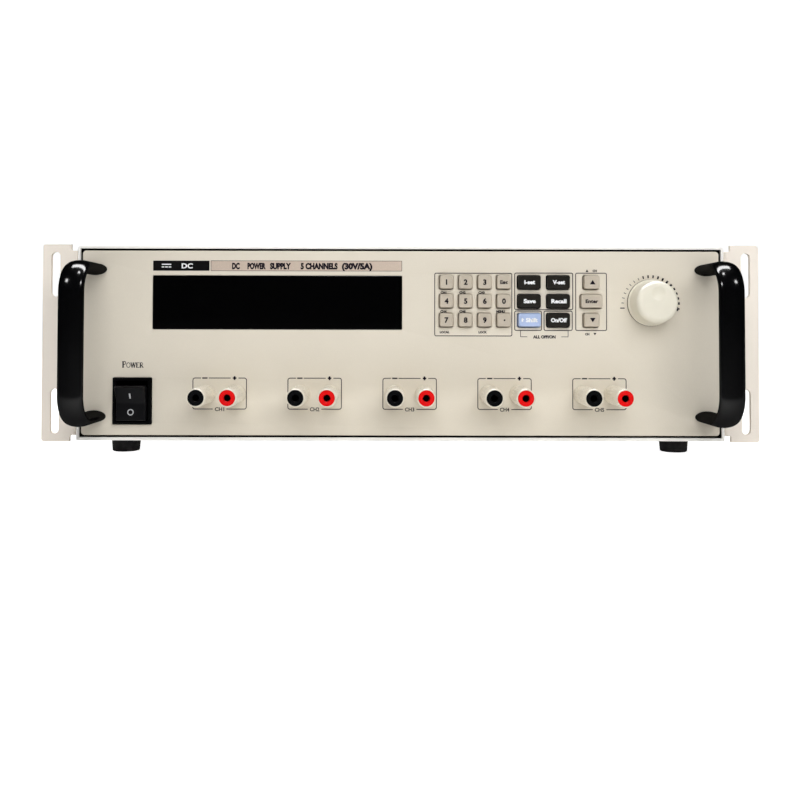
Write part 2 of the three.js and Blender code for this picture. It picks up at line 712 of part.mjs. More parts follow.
function mainsLead() {
  const { x } = INLET;
  const z = SOCKET_Z;
  const back = FLANGE_BACK + 1;
  const bodyEnd = back + LEAD.body;
  const reliefEnd = bodyEnd + LEAD.relief;
  const noseShape = socketShape(SOCKET.width - 2 * LEAD.noseGap, SOCKET.height - 2 * LEAD.noseGap);
  const nose = cut(
    plate(noseShape, SOCKET_FLOOR + 0.8, back + 1).translate([x, 0, z]),
    ...PINS.map((pin) => blade(pin, 0.5, SOCKET_FLOOR, back)),
  );
  const relief = turned(
    [[0, bodyEnd - 1], [7, bodyEnd - 1], [5, reliefEnd], [0, reliefEnd]],
    12,
  ).translate([x, 0, z]);
  const connector = union(nose, bar(x, z, 28, 20.4, 3, back, bodyEnd, 2), relief);
  const hank = cablePath(new THREE.Vector3(x, reliefEnd - 1, z));
  const path = new THREE.Curve(); // the same path, kept from sagging into the floor
  path.getPoint = (t) => {
    const point = hank.getPoint(t);
    return point.setZ(Math.max(point.z, FLOOR + LEAD.cableRadius + TOUCH));
  };
  const cable = sweep(path, 84, LEAD.cableRadius, LEAD.cableRadius, 6);
  return union(connector, cable, mainsPlug());
}

// The plug lies on its back at the end of the hank: a neck, a rounded body, and three flat blades
// that point up, the upper two leaning towards each other.
function mainsPlug() {
  const { x, neck, length, width, height, corner } = PLUG;
  const y = REAR + HANK.behind;
  const low = FLOOR + TOUCH;
  const [halfWidth, halfThickness] = [BLADE.width / 2, BLADE.thickness / 2];
  const puck = plate(roundedRectangle(length, width, corner), 0, height, 4).rotate([90, 0, 0]);
  const blade = (dx, dy, lean) =>
    block(-halfThickness, halfThickness, -halfWidth, halfWidth, height - 1, height + BLADE.length)
      .rotate([0, 0, lean])
      .translate([dx, dy, 0]);
  const body = union(
    puck,
    blade(-3, -BLADE.spread, 90 - BLADE.lean),
    blade(-3, BLADE.spread, 90 + BLADE.lean),
    blade(8, 0, 90),
  ).translate([x + neck - 3 + length / 2, y, low]);
  return union(body, block(x, x + neck, y - 5, y + 5, low + 1.2, low + 11));
}

// ---- The assembly -------------------------------------------------------------------------

const paint = (color, roughness, metalness = 0) =>
  new THREE.MeshStandardMaterial({ color, roughness, metalness });
const CREAM = paint(0xe0d8ca, 0.55);
const CREAM_PLASTIC = paint(0xe9e5d8, 0.4);
const KEY_CREAM = paint(0xd8cdbd, 0.6);
const KEY_BLACK = paint(0x2c2b27, 0.5);
const KEY_BLUE = paint(0xa9bde0, 0.5);
const BLACK_GLOSS = paint(0x0a0a0b, 0.18);
const BLACK = paint(0x16161a, 0.45);
const RUBBER = paint(0x15131a, 0.8);
const GLASS = paint(0x020202, 0.08);
const STEEL = paint(0xb9bbbd, 0.35, 0.9);
const BRASS = paint(0xc9a75a, 0.3, 0.9);
const BOARD_GREEN = paint(0x1f6b3b, 0.5);
const COPPER = paint(0xb8722f, 0.45, 0.3);

const supply = new THREE.Group();

function add(name, body, material) {
  const { vertProperties, triVerts, numProp, numVert } = body.getMesh();
  const points = new Float32Array(numVert * 3);
  for (let i = 0; i < numVert; i++) {
    points.set(vertProperties.subarray(i * numProp, i * numProp + 3), 3 * i);
  }
  const geometry = new THREE.BufferGeometry()
    .setAttribute("position", new THREE.BufferAttribute(points, 3))
    .setIndex(new THREE.BufferAttribute(triVerts, 1));
  geometry.computeVertexNormals();
  const mesh = new THREE.Mesh(geometry, material);
  mesh.name = name;
  supply.add(mesh);
  return mesh;
}

add("top_cover", topCover(), CREAM);
add("chassis", chassis(), CREAM);
add("rear_panel", rearPanel(), CREAM);
add("front_panel", frontPanel(), CREAM);
add("rack_ear_right", rackEar(), CREAM);
add("rack_ear_left", rackEar().mirror([1, 0, 0]), CREAM);
add("handle_left", handle(-HANDLE.x), BLACK_GLOSS);
add("handle_right", handle(HANDLE.x), BLACK_GLOSS);

for (const [side, x] of [["left", -FOOT.x], ["right", FOOT.x]]) {
  for (const [end, y] of [["front", FOOT.front], ["back", FOOT.back]]) {
    add(`foot_${end}_${side}`, foot(), RUBBER).position.set(x, y, -HALF_HEIGHT - TOUCH);
  }
}

add("display_window", displayWindow(), GLASS);
add("display_module", displayModule(), STEEL);
add("control_board", controlBoard(), BOARD_GREEN);
add("switch_body", switchBody(), BLACK);
add("switch_rocker", rocker(), BLACK);
add("adjust_knob", knob(), CREAM_PLASTIC);
add("encoder_shaft", encoderShaft(), STEEL);

for (const { name, x, z, width, height } of keyPlaces()) {
  const dark = ["current_set", "voltage_set", "save", "recall", "output_on_off"].includes(name);
  const material = dark ? KEY_BLACK : name === "shift" ? KEY_BLUE : KEY_CREAM;
  add(`key_${name}`, key(width, height), material).position.set(x, 0, z);
}

add("terminal_board", terminalBoard(), BRASS);
for (const { channel, sign, x, z } of postPlaces()) {
  add(`terminal_cap_${channel}_${sign}`, terminalCap(), CREAM_PLASTIC).position.set(x, 0, z);
}

add("transformer", transformer(), COPPER);
add("power_board", powerBoard(), BOARD_GREEN);
add("heatsink", heatsink(), STEEL);
add("fan_frame", fanFrame(), BLACK);
add("fan_rotor", fanRotor(), BLACK);
add("fan_guard", fanGuard(), STEEL);
add("mains_inlet", mainsInlet(), BLACK);
add("fuse_drawer", fuseDrawer(), BLACK);
add("mains_lead", mainsLead(), BLACK);

// The origin goes under the middle of the footprint, on the plane that the feet stand on.
const extent = new THREE.Box3().setFromObject(supply);
supply.position.set(0, -(extent.min.y + extent.max.y) / 2, -extent.min.z);

const root = new THREE.Group();
root.add(supply);

export default root;
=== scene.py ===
"""A five-channel bench power supply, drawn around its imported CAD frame.

Pieces are built in millimetres in the case's own frame: x from the middle of the front panel, y from
the panel's face towards the back, z from the panel's mid-height. Shape.piece() moves them to the row
frame, in metres. Places come from the CAD nodes' boxes.
"""

import math

import bpy
import numpy as np
from mathutils import Matrix, Vector


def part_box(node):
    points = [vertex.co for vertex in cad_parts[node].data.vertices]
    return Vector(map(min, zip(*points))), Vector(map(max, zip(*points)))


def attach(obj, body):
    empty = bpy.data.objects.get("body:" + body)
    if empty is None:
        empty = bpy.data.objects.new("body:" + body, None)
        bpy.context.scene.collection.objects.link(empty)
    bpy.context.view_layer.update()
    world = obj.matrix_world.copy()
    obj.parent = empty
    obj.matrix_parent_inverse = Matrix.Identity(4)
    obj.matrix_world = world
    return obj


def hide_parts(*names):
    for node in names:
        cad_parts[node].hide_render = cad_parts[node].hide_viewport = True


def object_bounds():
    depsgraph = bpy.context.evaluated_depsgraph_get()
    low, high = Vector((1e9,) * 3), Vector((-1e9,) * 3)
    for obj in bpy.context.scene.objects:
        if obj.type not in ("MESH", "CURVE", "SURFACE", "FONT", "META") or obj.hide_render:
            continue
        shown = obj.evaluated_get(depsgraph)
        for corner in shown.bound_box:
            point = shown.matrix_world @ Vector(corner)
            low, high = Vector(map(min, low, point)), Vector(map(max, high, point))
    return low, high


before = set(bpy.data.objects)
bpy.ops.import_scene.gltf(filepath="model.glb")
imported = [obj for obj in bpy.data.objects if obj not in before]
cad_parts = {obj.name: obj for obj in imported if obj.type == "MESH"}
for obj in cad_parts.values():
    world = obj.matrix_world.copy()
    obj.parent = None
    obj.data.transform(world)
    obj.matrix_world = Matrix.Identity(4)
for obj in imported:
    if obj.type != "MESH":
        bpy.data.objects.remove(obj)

CAD_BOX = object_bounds()
MM = 0.001
PER_METRE = 1000  # millimetres in a metre


# ---- The frame --------------------------------------------------------------------------------

_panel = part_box("front_panel")
ORIGIN = np.array([0.0, _panel[0].y, (_panel[0].z + _panel[1].z) / 2])


class Box:
    """A CAD node's box in the case's own frame, in millimetres."""

    def __init__(self, node):
        lo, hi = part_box(node)
        self.lo = (np.array(lo) - ORIGIN) / MM
        self.hi = (np.array(hi) - ORIGIN) / MM
        self.mid = (self.lo + self.hi) / 2
        self.size = self.hi - self.lo


# ---- Outlines ---------------------------------------------------------------------------------


def arc(cx, cy, radius, start, end, steps=8):
    """Points on a circle from one angle to another, in degrees."""
    angles = np.radians(np.linspace(start, end, steps + 1))
    return [(cx + radius * math.cos(a), cy + radius * math.sin(a)) for a in angles]


def rounded(cx, cy, width, height, radius, steps=6):
    """A rectangle with rounded corners."""
    w, h = width / 2 - radius, height / 2 - radius
    corners = [(w, h, 0), (-w, h, 90), (-w, -h, 180), (w, -h, 270)]
    return [p for x, y, a in corners for p in arc(cx + x, cy + y, radius, a, a + 90, steps)]


def circle(cx, cy, radius, steps=48):
    """Points once round a circle, with none twice."""
    return arc(cx, cy, radius, 0, 360, steps)[:-1]


STRAIGHT = 178  # a corner this flat, in degrees, needs no rounding


def fillet(points, radius, closed=True, steps=5):
    """The outline with its corners rounded. radius is one number, or one for each point."""
    points = [np.array(p, float) for p in points]
    radii = list(radius) if hasattr(radius, "__len__") else [radius] * len(points)
    out = []
    for i, p in enumerate(points):
        ends = not closed and i in (0, len(points) - 1)
        a, b = points[i - 1] - p, points[(i + 1) % len(points)] - p
        if ends or radii[i] <= 0:
            out.append(tuple(p))
            continue
        la, lb = np.linalg.norm(a), np.linalg.norm(b)
        a, b = a / la, b / lb
        angle = math.acos(max(-1.0, min(1.0, float(a @ b))))
        if angle > math.radians(STRAIGHT):
            out.append(tuple(p))
            continue
        reach = min(radii[i] / math.tan(angle / 2), 0.49 * la, 0.49 * lb)
        start, end = p + a * reach, p + b * reach
        for t in np.linspace(0, 1, steps + 1):
            q = (1 - t) ** 2 * start + 2 * t * (1 - t) * p + t**2 * end
            out.append(tuple(q))
    return out


# ---- Solids: each returns (vertices in millimetres, faces) ------------------------------------


def lathe(profile, segments=64, centre=(0, 0, 0), axis="y"):
    """A profile of (radius, distance along the axis) turned about an axis through centre."""
    angles = 2 * math.pi * np.arange(segments) / segments
    verts, rings = [], []
    for r, along in profile:
        if r < 1e-6:
            rings.append([len(verts)])
            verts.append((0, along, 0))
        else:
            rings.append(list(range(len(verts), len(verts) + segments)))
            verts += [(r * math.cos(a), along, r * math.sin(a)) for a in angles]
    faces = []
    for low, high in zip(rings, rings[1:]):
        for i in range(segments):
            j = (i + 1) % segments
            face = [low[i % len(low)], low[j % len(low)], high[j % len(high)], high[i % len(high)]]
            face = list(dict.fromkeys(face))
            if len(face) > 2:
                faces.append(face)
    verts = np.array(verts, float)
    if axis == "z":
        verts = verts[:, [0, 2, 1]] * [1, -1, 1]
    if axis == "x":
        verts = verts[:, [1, 0, 2]] * [1, -1, 1]
    return outward(verts + np.array(centre, float), faces)


def ring(profile, segments, centre, axis="y"):
    """A closed outline that stays off the axis, turned about it."""
    return outward(*weld(*lathe(profile + profile[:1], segments, centre, axis)))


def loft(loops, caps=True):
    """A skin over loops that all hold the same number of points, closed at both ends."""
    count = len(loops[0])
    verts = np.array([p for loop in loops for p in loop], float)
    faces = []
    for k in range(len(loops) - 1):
        a, b = k * count, (k + 1) * count
        for i in range(count):
            j = (i + 1) % count
            faces.append([a + i, a + j, b + j, b + i])
    if caps:
        faces.append(list(range(count))[::-1])
        faces.append(list(range((len(loops) - 1) * count, len(loops) * count)))
    return outward(verts, faces)


def sweep(path, half_a, half_b=None, sides=24, up=(1, 0, 0)):
    """An ellipse swept along a path, with flat ends. half_a lies along up where it can."""
    path = np.array(path, float)
    half_b = half_b or half_a
    tangents = np.gradient(path, axis=0)
    tangents /= np.linalg.norm(tangents, axis=1)[:, None]
    side = np.array(up, float)
    loops = []
    for point, tangent in zip(path, tangents):
        side = side - tangent * (side @ tangent)
        side /= np.linalg.norm(side)
        other = np.cross(tangent, side)
        loops.append(
            [
                point + side * half_a * math.cos(t) + other * half_b * math.sin(t)
                for t in 2 * math.pi * np.arange(sides) / sides
            ]
        )
    return loft(loops)


def turn_to(verts, plane):
    """Points drawn as (x, y, height) laid into a plane of the case: xz faces the front."""
    if plane == "xz":
        return verts[:, [0, 2, 1]] * [1, -1, 1]
    if plane == "yz":
        return verts[:, [2, 0, 1]]
    return verts


def plate(outline, low, high, holes=(), edge=0.3, steps=2, plane="xz"):
    """A flat outline with holes, given a thickness from low to high and softened edges."""
    curve = bpy.data.curves.new("outline", "CURVE")
    curve.dimensions = "2D"
    curve.fill_mode = "BOTH"
    curve.extrude = max((high - low) / 2 - edge, 0)
    curve.bevel_depth = edge
    curve.bevel_resolution = steps
    curve.offset = -edge
    for points in (outline, *holes):
        spline = curve.splines.new("POLY")
        spline.points.add(len(points) - 1)
        spline.points.foreach_set("co", np.array([(x, y, 0, 1) for x, y in points]).ravel())
        spline.use_cyclic_u = True
    verts, faces = harvest(curve)
    verts = turn_to(verts, plane)
    across = {"xz": 1, "yz": 0, "xy": 2}[plane]
    verts[:, across] += (low + high) / 2
    return outward(verts, faces)


def harvest(data):
    """The mesh that a curve or text makes, as (vertices, faces)."""
    obj = bpy.data.objects.new("harvest", data)
    bpy.context.scene.collection.objects.link(obj)
    bpy.context.view_layer.update()
    graph = bpy.context.evaluated_depsgraph_get()
    mesh = bpy.data.meshes.new_from_object(obj.evaluated_get(graph))
    verts, faces = read_mesh(mesh)
    bpy.data.meshes.remove(mesh)
    bpy.data.objects.remove(obj)
    return weld(verts, faces)


def read_mesh(mesh):
    """A Blender mesh as (vertices, faces)."""
    verts = np.zeros(len(mesh.vertices) * 3)
    mesh.vertices.foreach_get("co", verts)
    return verts.reshape(-1, 3), [list(p.vertices) for p in mesh.polygons]


def weld(verts, faces, digits=5):
    """Vertices at one place become one."""
    keys, where, order = {}, [], []
    for v in np.round(verts, digits):
        key = tuple(v)
        if key not in keys:
            keys[key] = len(order)
            order.append(v)
        where.append(keys[key])
    out = []
    for face in faces:
        face = list(dict.fromkeys(where[i] for i in face))
        if len(face) > 2:
            out.append(face)
    return np.array(order), out


def outward(verts, faces):
    """Turns all faces over if the solid's volume comes out negative."""
    total = 0.0
    for face in faces:
        a = verts[face[0]]
        for i in range(1, len(face) - 1):
            total += float(a @ np.cross(verts[face[i]], verts[face[i + 1]]))
    if total < 0:
        faces = [face[::-1] for face in faces]
    return verts, faces


def block(lo, hi, edge=0.3, steps=2):
    """A box between two corners with rounded edges."""
    lo, hi = np.array(lo, float), np.array(hi, float)
    mid, size = (lo + hi) / 2, hi - lo
    edge = min(edge, 0.45 * size.min())
    outline = rounded(mid[0], mid[2], size[0], size[2], edge * 1.01, steps + 1)
    return plate(outline, lo[1], hi[1], edge=edge, steps=steps)


def join(*solids):
    """Several solids as one (vertices, faces), with nothing merged."""
    verts, faces, offset = [], [], 0
    for v, f in solids:
        verts.append(v)
        faces += [[i + offset for i in face] for face in f]
        offset += len(v)
    return np.concatenate(verts), faces


def moved(solid, by=(0, 0, 0), turn=None):
    """The solid turned by a matrix about the origin, then moved."""
    verts, faces = solid
    if turn is not None:
        verts = verts @ np.array(turn.to_3x3()).T
    return verts + np.array(by, float), faces


def boolean(base, cutter):
    """base with cutter taken away."""
    objects = []
    for verts, faces in (base, cutter):
        mesh = bpy.data.meshes.new("solid")
        mesh.from_pydata(verts.tolist(), [], faces)
        objects.append(bpy.data.objects.new("solid", mesh))
        bpy.context.scene.collection.objects.link(objects[-1])
    modifier = objects[0].modifiers.new("boolean", "BOOLEAN")
    modifier.object = objects[1]
    modifier.operation = "DIFFERENCE"
    modifier.solver = "EXACT"
    bpy.context.view_layer.update()
    graph = bpy.context.evaluated_depsgraph_get()
    mesh = bpy.data.meshes.new_from_object(objects[0].evaluated_get(graph))
    result = read_mesh(mesh)
    bpy.data.meshes.remove(mesh)
    for o in objects:
        bpy.data.objects.remove(o)
    return result


def stroke(points, width, low, high, closed=False):
    """A ribbon of even width along points in the xz plane, from y low to y high."""
    p = np.array(points, float)
    if closed:
        before, after = np.roll(p, 1, 0), np.roll(p, -1, 0)
    else:
        before = np.vstack([2 * p[0] - p[1], p[:-1]])
        after = np.vstack([p[1:], 2 * p[-1] - p[-2]])
    d0, d1 = p - before, after - p
    d0 /= np.linalg.norm(d0, axis=1)[:, None]
    d1 /= np.linalg.norm(d1, axis=1)[:, None]
    n0, n1 = d0[:, ::-1] * [-1, 1], d1[:, ::-1] * [-1, 1]
    normal = n0 + n1
    normal /= np.linalg.norm(normal, axis=1)[:, None]
    stretch = 1 / np.maximum((normal * n0).sum(1), 0.35)
    shift = normal * stretch[:, None] * width / 2
    loops = []
    for a, b in zip(p - shift, p + shift):
        loops.append([(a[0], low, a[1]), (b[0], low, b[1]), (b[0], high, b[1]), (a[0], high, a[1])])
    if not closed:
        return loft(loops)
    verts, faces = loft(loops + loops[:1], caps=False)
    return outward(*weld(verts, faces))


_cap_height = []


def words(text, x, z, height, low, high, width=None, weight=0.0, align="centre"):
    """Lettering in the xz plane that faces the front. height is a capital's height."""

    def harvested(body):
        curve = bpy.data.curves.new("words", "FONT")
        curve.body = body
        curve.resolution_u = 3
        curve.extrude = 0.5
        curve.offset = weight
        return harvest(curve)

    if not _cap_height:
        reference = harvested("H")[0]
        _cap_height.append(np.ptp(reference[:, 1]))
    verts, faces = harvested(text)
    scale = height / _cap_height[0]
    verts = verts * [scale, scale, 1]
    span = np.ptp(verts[:, 0])
    if width:
        verts[:, 0] *= width / span
        span = width
    left = verts[:, 0].min()
    verts[:, 0] += {"centre": -left - span / 2, "left": -left}[align] + x
    verts[:, 1] += z - height / 2
    verts[:, 2] *= high - low
    verts = turn_to(verts, "xz")
    verts[:, 1] += (low + high) / 2
    return outward(verts, faces)


# ---- Pieces -----------------------------------------------------------------------------------


class Shape:
    """Solids gathered for one piece, each with one of the piece's materials."""

    def __init__(self):
        self.verts, self.faces, self.index, self.count = [], [], [], 0

    def add(self, solid, material=0):
        verts, faces = solid
        self.verts.append(verts)
        self.faces += [[i + self.count for i in face] for face in faces]
        self.index += [material] * len(faces)
        self.count += len(verts)
        return self

    def piece(self, name, body, slot, materials, replaces=(), sharp=35, bevel=0.0):
        mesh = bpy.data.meshes.new(name)
        points = np.concatenate(self.verts) * MM + ORIGIN
        mesh.from_pydata(points.tolist(), [], self.faces)
        for material in materials:
            mesh.materials.append(material)
        mesh.polygons.foreach_set("material_index", self.index)
        mesh.polygons.foreach_set("use_smooth", [True] * len(self.faces))
        mesh.set_sharp_from_angle(angle=math.radians(sharp))
        mesh.update()
        obj = bpy.data.objects.new(name, mesh)
        bpy.context.scene.collection.objects.link(obj)
        if bevel:
            soften(obj, bevel)
        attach(obj, body)
        if replaces:
            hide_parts(*replaces)
        return obj


def soften(obj, width):
    """Rounds a piece's sharp edges and keeps its flat faces flat."""
    bevel = obj.modifiers.new("edges", "BEVEL")
    bevel.width = width * MM
    bevel.segments = 2
    bevel.limit_method = "ANGLE"
    bevel.angle_limit = math.radians(40)
    bevel.use_clamp_overlap = True
    normals = obj.modifiers.new("normals", "WEIGHTED_NORMAL")
    normals.keep_sharp = True


# ---- Materials --------------------------------------------------------------------------------


class Look:
    """A node material built up from a Principled shader. Lengths are in millimetres."""

    def __init__(self, name, color, roughness=0.5, metallic=0.0, **inputs):
        self.material = bpy.data.materials.new(name)
        self.material.use_nodes = True
        self.tree = self.material.node_tree
        self.shader = self.tree.nodes["Principled BSDF"]
        self.set("Base Color", (*color, 1.0))
        self.set("Roughness", roughness)
        self.set("Metallic", metallic)
        for key, value in inputs.items():
            self.set(key.replace("_", " "), value)
        self.material.diffuse_color = (*color, 1.0)
        coordinates = self.tree.nodes.new("ShaderNodeTexCoord")
        self.place = coordinates.outputs["Object"]

    def set(self, name, value):
        self.shader.inputs[name].default_value = value

    def link(self, a, b):
        self.tree.links.new(a, b)

    def node(self, kind, **inputs):
        node = self.tree.nodes.new(kind)
        for key, value in inputs.items():
            socket = node.inputs[key.replace("_", " ")]
            if isinstance(value, bpy.types.NodeSocket):
                self.link(value, socket)
            else:
                socket.default_value = value
        return node

    def stretched(self, x=1.0, y=1.0, z=1.0):
        mapping = self.node("ShaderNodeMapping", Vector=self.place)
        mapping.inputs["Scale"].default_value = (x, y, z)
        return mapping.outputs["Vector"]

    def noise(self, size, detail=2.0, vector=None):
        """Clouds of the given size, from 0 to 1."""
        node = self.node("ShaderNodeTexNoise", Vector=vector or self.place, Scale=PER_METRE / size)
        node.inputs["Detail"].default_value = detail
        return node.outputs["Fac"]

    def cells(self, size):
        """Distances to the middles of cells of the given size."""
        node = self.node("ShaderNodeTexVoronoi", Vector=self.place, Scale=PER_METRE / size)
        return node.outputs["Distance"]

    def maths(self, operation, a, b=0.0):
        node = self.tree.nodes.new("ShaderNodeMath")
        node.operation = operation
        for socket, value in zip(node.inputs, (a, b)):
            if isinstance(value, bpy.types.NodeSocket):
                self.link(value, socket)
            else:
                socket.default_value = value
        return node.outputs[0]

    def between(self, value, low, high):
        """value scaled smoothly from low..high to 0..1, and clipped."""
        node = self.node("ShaderNodeMapRange", Value=value)
        node.interpolation_type = "SMOOTHSTEP"
        node.inputs["From Min"].default_value = low
        node.inputs["From Max"].default_value = high
        return node.outputs["Result"]

    def tint(self, factor, color, amount=1.0):
        """Mixes the base colour towards another where factor is 1."""
        mix = self.tree.nodes.new("ShaderNodeMix")
        mix.data_type = "RGBA"
        sockets = [s for s in mix.inputs if s.type == "RGBA"]
        socket = self.shader.inputs["Base Color"]
        if socket.is_linked:
            self.link(socket.links[0].from_socket, sockets[0])
        else:
            sockets[0].default_value = socket.default_value
        sockets[1].default_value = (*color, 1.0)
        self.link(self.maths("MULTIPLY", factor, amount), mix.inputs["Factor"])
        self.link([s for s in mix.outputs if s.type == "RGBA"][0], socket)
        return self

    def vary_roughness(self, factor, low, high):
        node = self.node("ShaderNodeMapRange", Value=factor)
        node.inputs["To Min"].default_value = low
        node.inputs["To Max"].default_value = high
        self.link(node.outputs["Result"], self.shader.inputs["Roughness"])
        return self

    def relief(self, height, depth):
        """A bump whose full height is depth millimetres."""
        bump = self.node("ShaderNodeBump", Height=height)
        bump.inputs["Strength"].default_value = 1.0
        bump.inputs["Distance"].default_value = depth * MM
        socket = self.shader.inputs["Normal"]
        if socket.is_linked:
            self.link(socket.links[0].from_socket, bump.inputs["Normal"])
        self.link(bump.outputs["Normal"], socket)
        return self


def srgb(r, g, b):
    """A colour given as 0 to 255 in sRGB, made linear."""

    def linear(c):
        return c / 12.92 if c <= 0.04045 else ((c + 0.055) / 1.055) ** 2.4

    return tuple(linear(c / 255) for c in (r, g, b))


def scaled(color, factor):
    """A colour made darker, or lighter up to white."""
    return tuple(min(1, c * factor) for c in color)


def powder_coat(name, color):
    """Matt powder coat: an orange-peel skin with fine grain and faint handling marks."""
    look = Look(name, color, 0.5, Specular_IOR_Level=0.35)
    peel = look.noise(1.6, 2)
    grain = look.noise(0.35, 1)
    clouds = look.noise(70, 3)
    look.tint(look.between(clouds, 0.35, 0.7), scaled(color, 0.93), 0.6)
    look.tint(look.between(grain, 0.55, 0.75), scaled(color, 1.06), 0.5)
    look.vary_roughness(clouds, 0.42, 0.6)
    look.relief(peel, 0.03).relief(grain, 0.012)
    return look.material


def moulded(name, color, roughness, grain=0.25, depth=0.008, shade=0.9, shine=0.4):
    """Moulded plastic with the fine spark texture of its tool."""
    look = Look(name, color, roughness, Specular_IOR_Level=shine)
    fine = look.noise(grain, 2)
    clouds = look.noise(9, 3)
    look.tint(look.between(clouds, 0.35, 0.75), scaled(color, shade), 0.7)
    look.vary_roughness(fine, roughness - 0.06, roughness + 0.08)
    look.relief(fine, depth)
    return look.material


def enamel(name, color):
    """Thick glossy enamel: crisp where it faces the eye, dull where it turns away, and a little dusty."""
    look = Look(name, color, 0.06)
    facing = look.tree.nodes.new("ShaderNodeLayerWeight").outputs["Facing"]
    turned = look.maths("POWER", look.maths("SUBTRACT", 1.0, facing), 4.0)
    look.link(look.maths("MULTIPLY", turned, 0.5), look.shader.inputs["Specular IOR Level"])
    look.relief(look.noise(7, 1), 0.008)
    dust = look.between(look.noise(0.6, 3), 0.62, 0.8)
    look.tint(dust, (0.05, 0.05, 0.05), 0.12)
    look.vary_roughness(look.noise(14, 3), 0.1, 0.17)
    return look.material


def acrylic(name):
    """Smoked acrylic, polished, with faint wiping marks."""
    look = Look(name, (0.001, 0.001, 0.0012), 0.05, Specular_IOR_Level=0.28)
    wiped = look.noise(6, 3, look.stretched(0.12, 1, 1))
    look.vary_roughness(wiped, 0.03, 0.12)
    look.relief(look.noise(30, 1), 0.01)
    return look.material


def metal(name, color, roughness, lines=(1, 1, 1)):
    """Machined or plated metal. lines stretches the tool marks."""
    look = Look(name, color, roughness, 1.0)
    marks = look.noise(0.2, 3, look.stretched(*lines))
    stains = look.noise(8, 3)
    look.tint(look.between(stains, 0.45, 0.75), scaled(color, 0.75), 0.5)
    look.vary_roughness(marks, max(roughness - 0.1, 0.05), roughness + 0.15)
    look.relief(marks, 0.004)
    return look.material


def rubber(name):
    """Black moulded rubber with a dull bloom and grit in its pores."""
    look = Look(name, (0.012, 0.011, 0.013), 0.75, Specular_IOR_Level=0.3)
    pores = look.cells(0.5)
    bloom = look.between(look.noise(6, 4), 0.45, 0.8)
    look.tint(bloom, (0.045, 0.043, 0.042), 0.6)
    look.relief(pores, 0.02)
    return look.material


def ink(name, color):
    """Screen-printed ink, a little uneven at its edges and in its gloss."""
    look = Look(name, color, 0.5, Specular_IOR_Level=0.12)
    thin = look.between(look.noise(0.5, 3), 0.5, 0.8)
    look.tint(thin, tuple(min(1, c * 1.5 + 0.008) for c in color), 0.4)
    look.relief(look.noise(0.2, 2), 0.004)
    return look.material


def circuit_board(name):
    """Green solder mask over copper tracks that run in straight bundles."""
    look = Look(name, (0.012, 0.09, 0.035), 0.35)
    wave = look.node("ShaderNodeTexWave", Vector=look.place, Scale=260.0, Distortion=3.0)
    wave.bands_direction = "Y"
    tracks = look.between(wave.outputs["Fac"], 0.55, 0.65)
    look.tint(tracks, (0.03, 0.17, 0.06), 0.8)
    pads = look.between(look.cells(4.5), 0.10, 0.06)
    look.tint(pads, (0.6, 0.58, 0.5), 0.9)
    look.relief(tracks, 0.05)
    return look.material


def wound_tape(name):
    """Yellow varnished tape wrapped round a ring in overlapping turns."""
    look = Look(name, (0.62, 0.4, 0.06), 0.35, Coat_Weight=0.3)
    turns = look.node("ShaderNodeTexWave", Vector=look.place, Scale=60.0, Distortion=1.5)
    look.tint(look.between(turns.outputs["Fac"], 0.0, 0.25), (0.3, 0.17, 0.02), 0.7)
    look.tint(look.between(look.noise(5, 3), 0.4, 0.7), (0.7, 0.5, 0.12), 0.5)
    look.relief(turns.outputs["Fac"], 0.25)
    return look.material


def paper_floor():
    """Seamless paper that glows for the camera. Polished parts see it dark, but for a strip by the case."""
    look = Look("floor_paper", (0.93, 0.93, 0.93), 0.9, Specular_IOR_Level=0.1)
    look.set("Emission Color", (1, 1, 1, 1))
    seen = look.node("ShaderNodeLightPath").outputs["Is Camera Ray"]
    own_glow, camera_glow = 0.08, 0.85
    glow = look.maths("ADD", look.maths("MULTIPLY", seen, camera_glow), own_glow)
    look.link(glow, look.shader.inputs["Emission Strength"])
    look.tint(look.between(look.noise(60, 3), 0.4, 0.7), (0.9, 0.9, 0.9), 0.5)
    place = look.node("ShaderNodeSeparateXYZ")
    look.link(look.node("ShaderNodeNewGeometry").outputs["Position"], place.inputs[0])
    near = look.between(place.outputs["Y"], ORIGIN[1] - 0.3, ORIGIN[1] - 0.08)
    far = look.maths("SUBTRACT", 1.0, near)
    mirrored = look.maths("MULTIPLY", look.node("ShaderNodeLightPath").outputs["Is Glossy Ray"], far)
    look.tint(mirrored, (0.02, 0.02, 0.02), 1.0)
    look.relief(look.noise(1.2, 3), 0.02)
    return look.material


CREAM = powder_coat("cream_powder_coat", srgb(226, 218, 202))
CASE_WHITE = powder_coat("case_powder_coat", srgb(250, 248, 243))
EAR_WHITE = powder_coat("ear_powder_coat", srgb(247, 238, 226))
HANDLE_BLACK = enamel("black_enamel", (0.0016, 0.0016, 0.002))
WINDOW = acrylic("smoked_acrylic")
KEY_CREAM = moulded("key_beige", srgb(197, 186, 169), 0.42)
KEY_BLACK = moulded("key_black", srgb(36, 34, 30), 0.38, shine=0.12)
KEY_BLUE = moulded("key_light_blue", srgb(178, 196, 232), 0.42, shine=0.25)
KNOB_CREAM = moulded("knob_ivory", srgb(235, 230, 213), 0.38, grain=0.4, shade=0.96)
POST_CREAM = moulded("terminal_ivory", srgb(243, 235, 218), 0.28, grain=0.6, depth=0.004)
POST_RED = moulded("terminal_red", srgb(232, 8, 10), 0.3, grain=0.5, depth=0.004, shade=0.95, shine=0.2)
POST_BLACK = moulded("terminal_black", srgb(9, 10, 12), 0.3, grain=0.5, depth=0.004, shine=0.12)
SWITCH_BLACK = moulded("switch_black", srgb(3, 3, 4), 0.42, shine=0.06)
ROCKER_BLACK = moulded("rocker_black", srgb(17, 17, 19), 0.3, depth=0.004, shine=0.12)
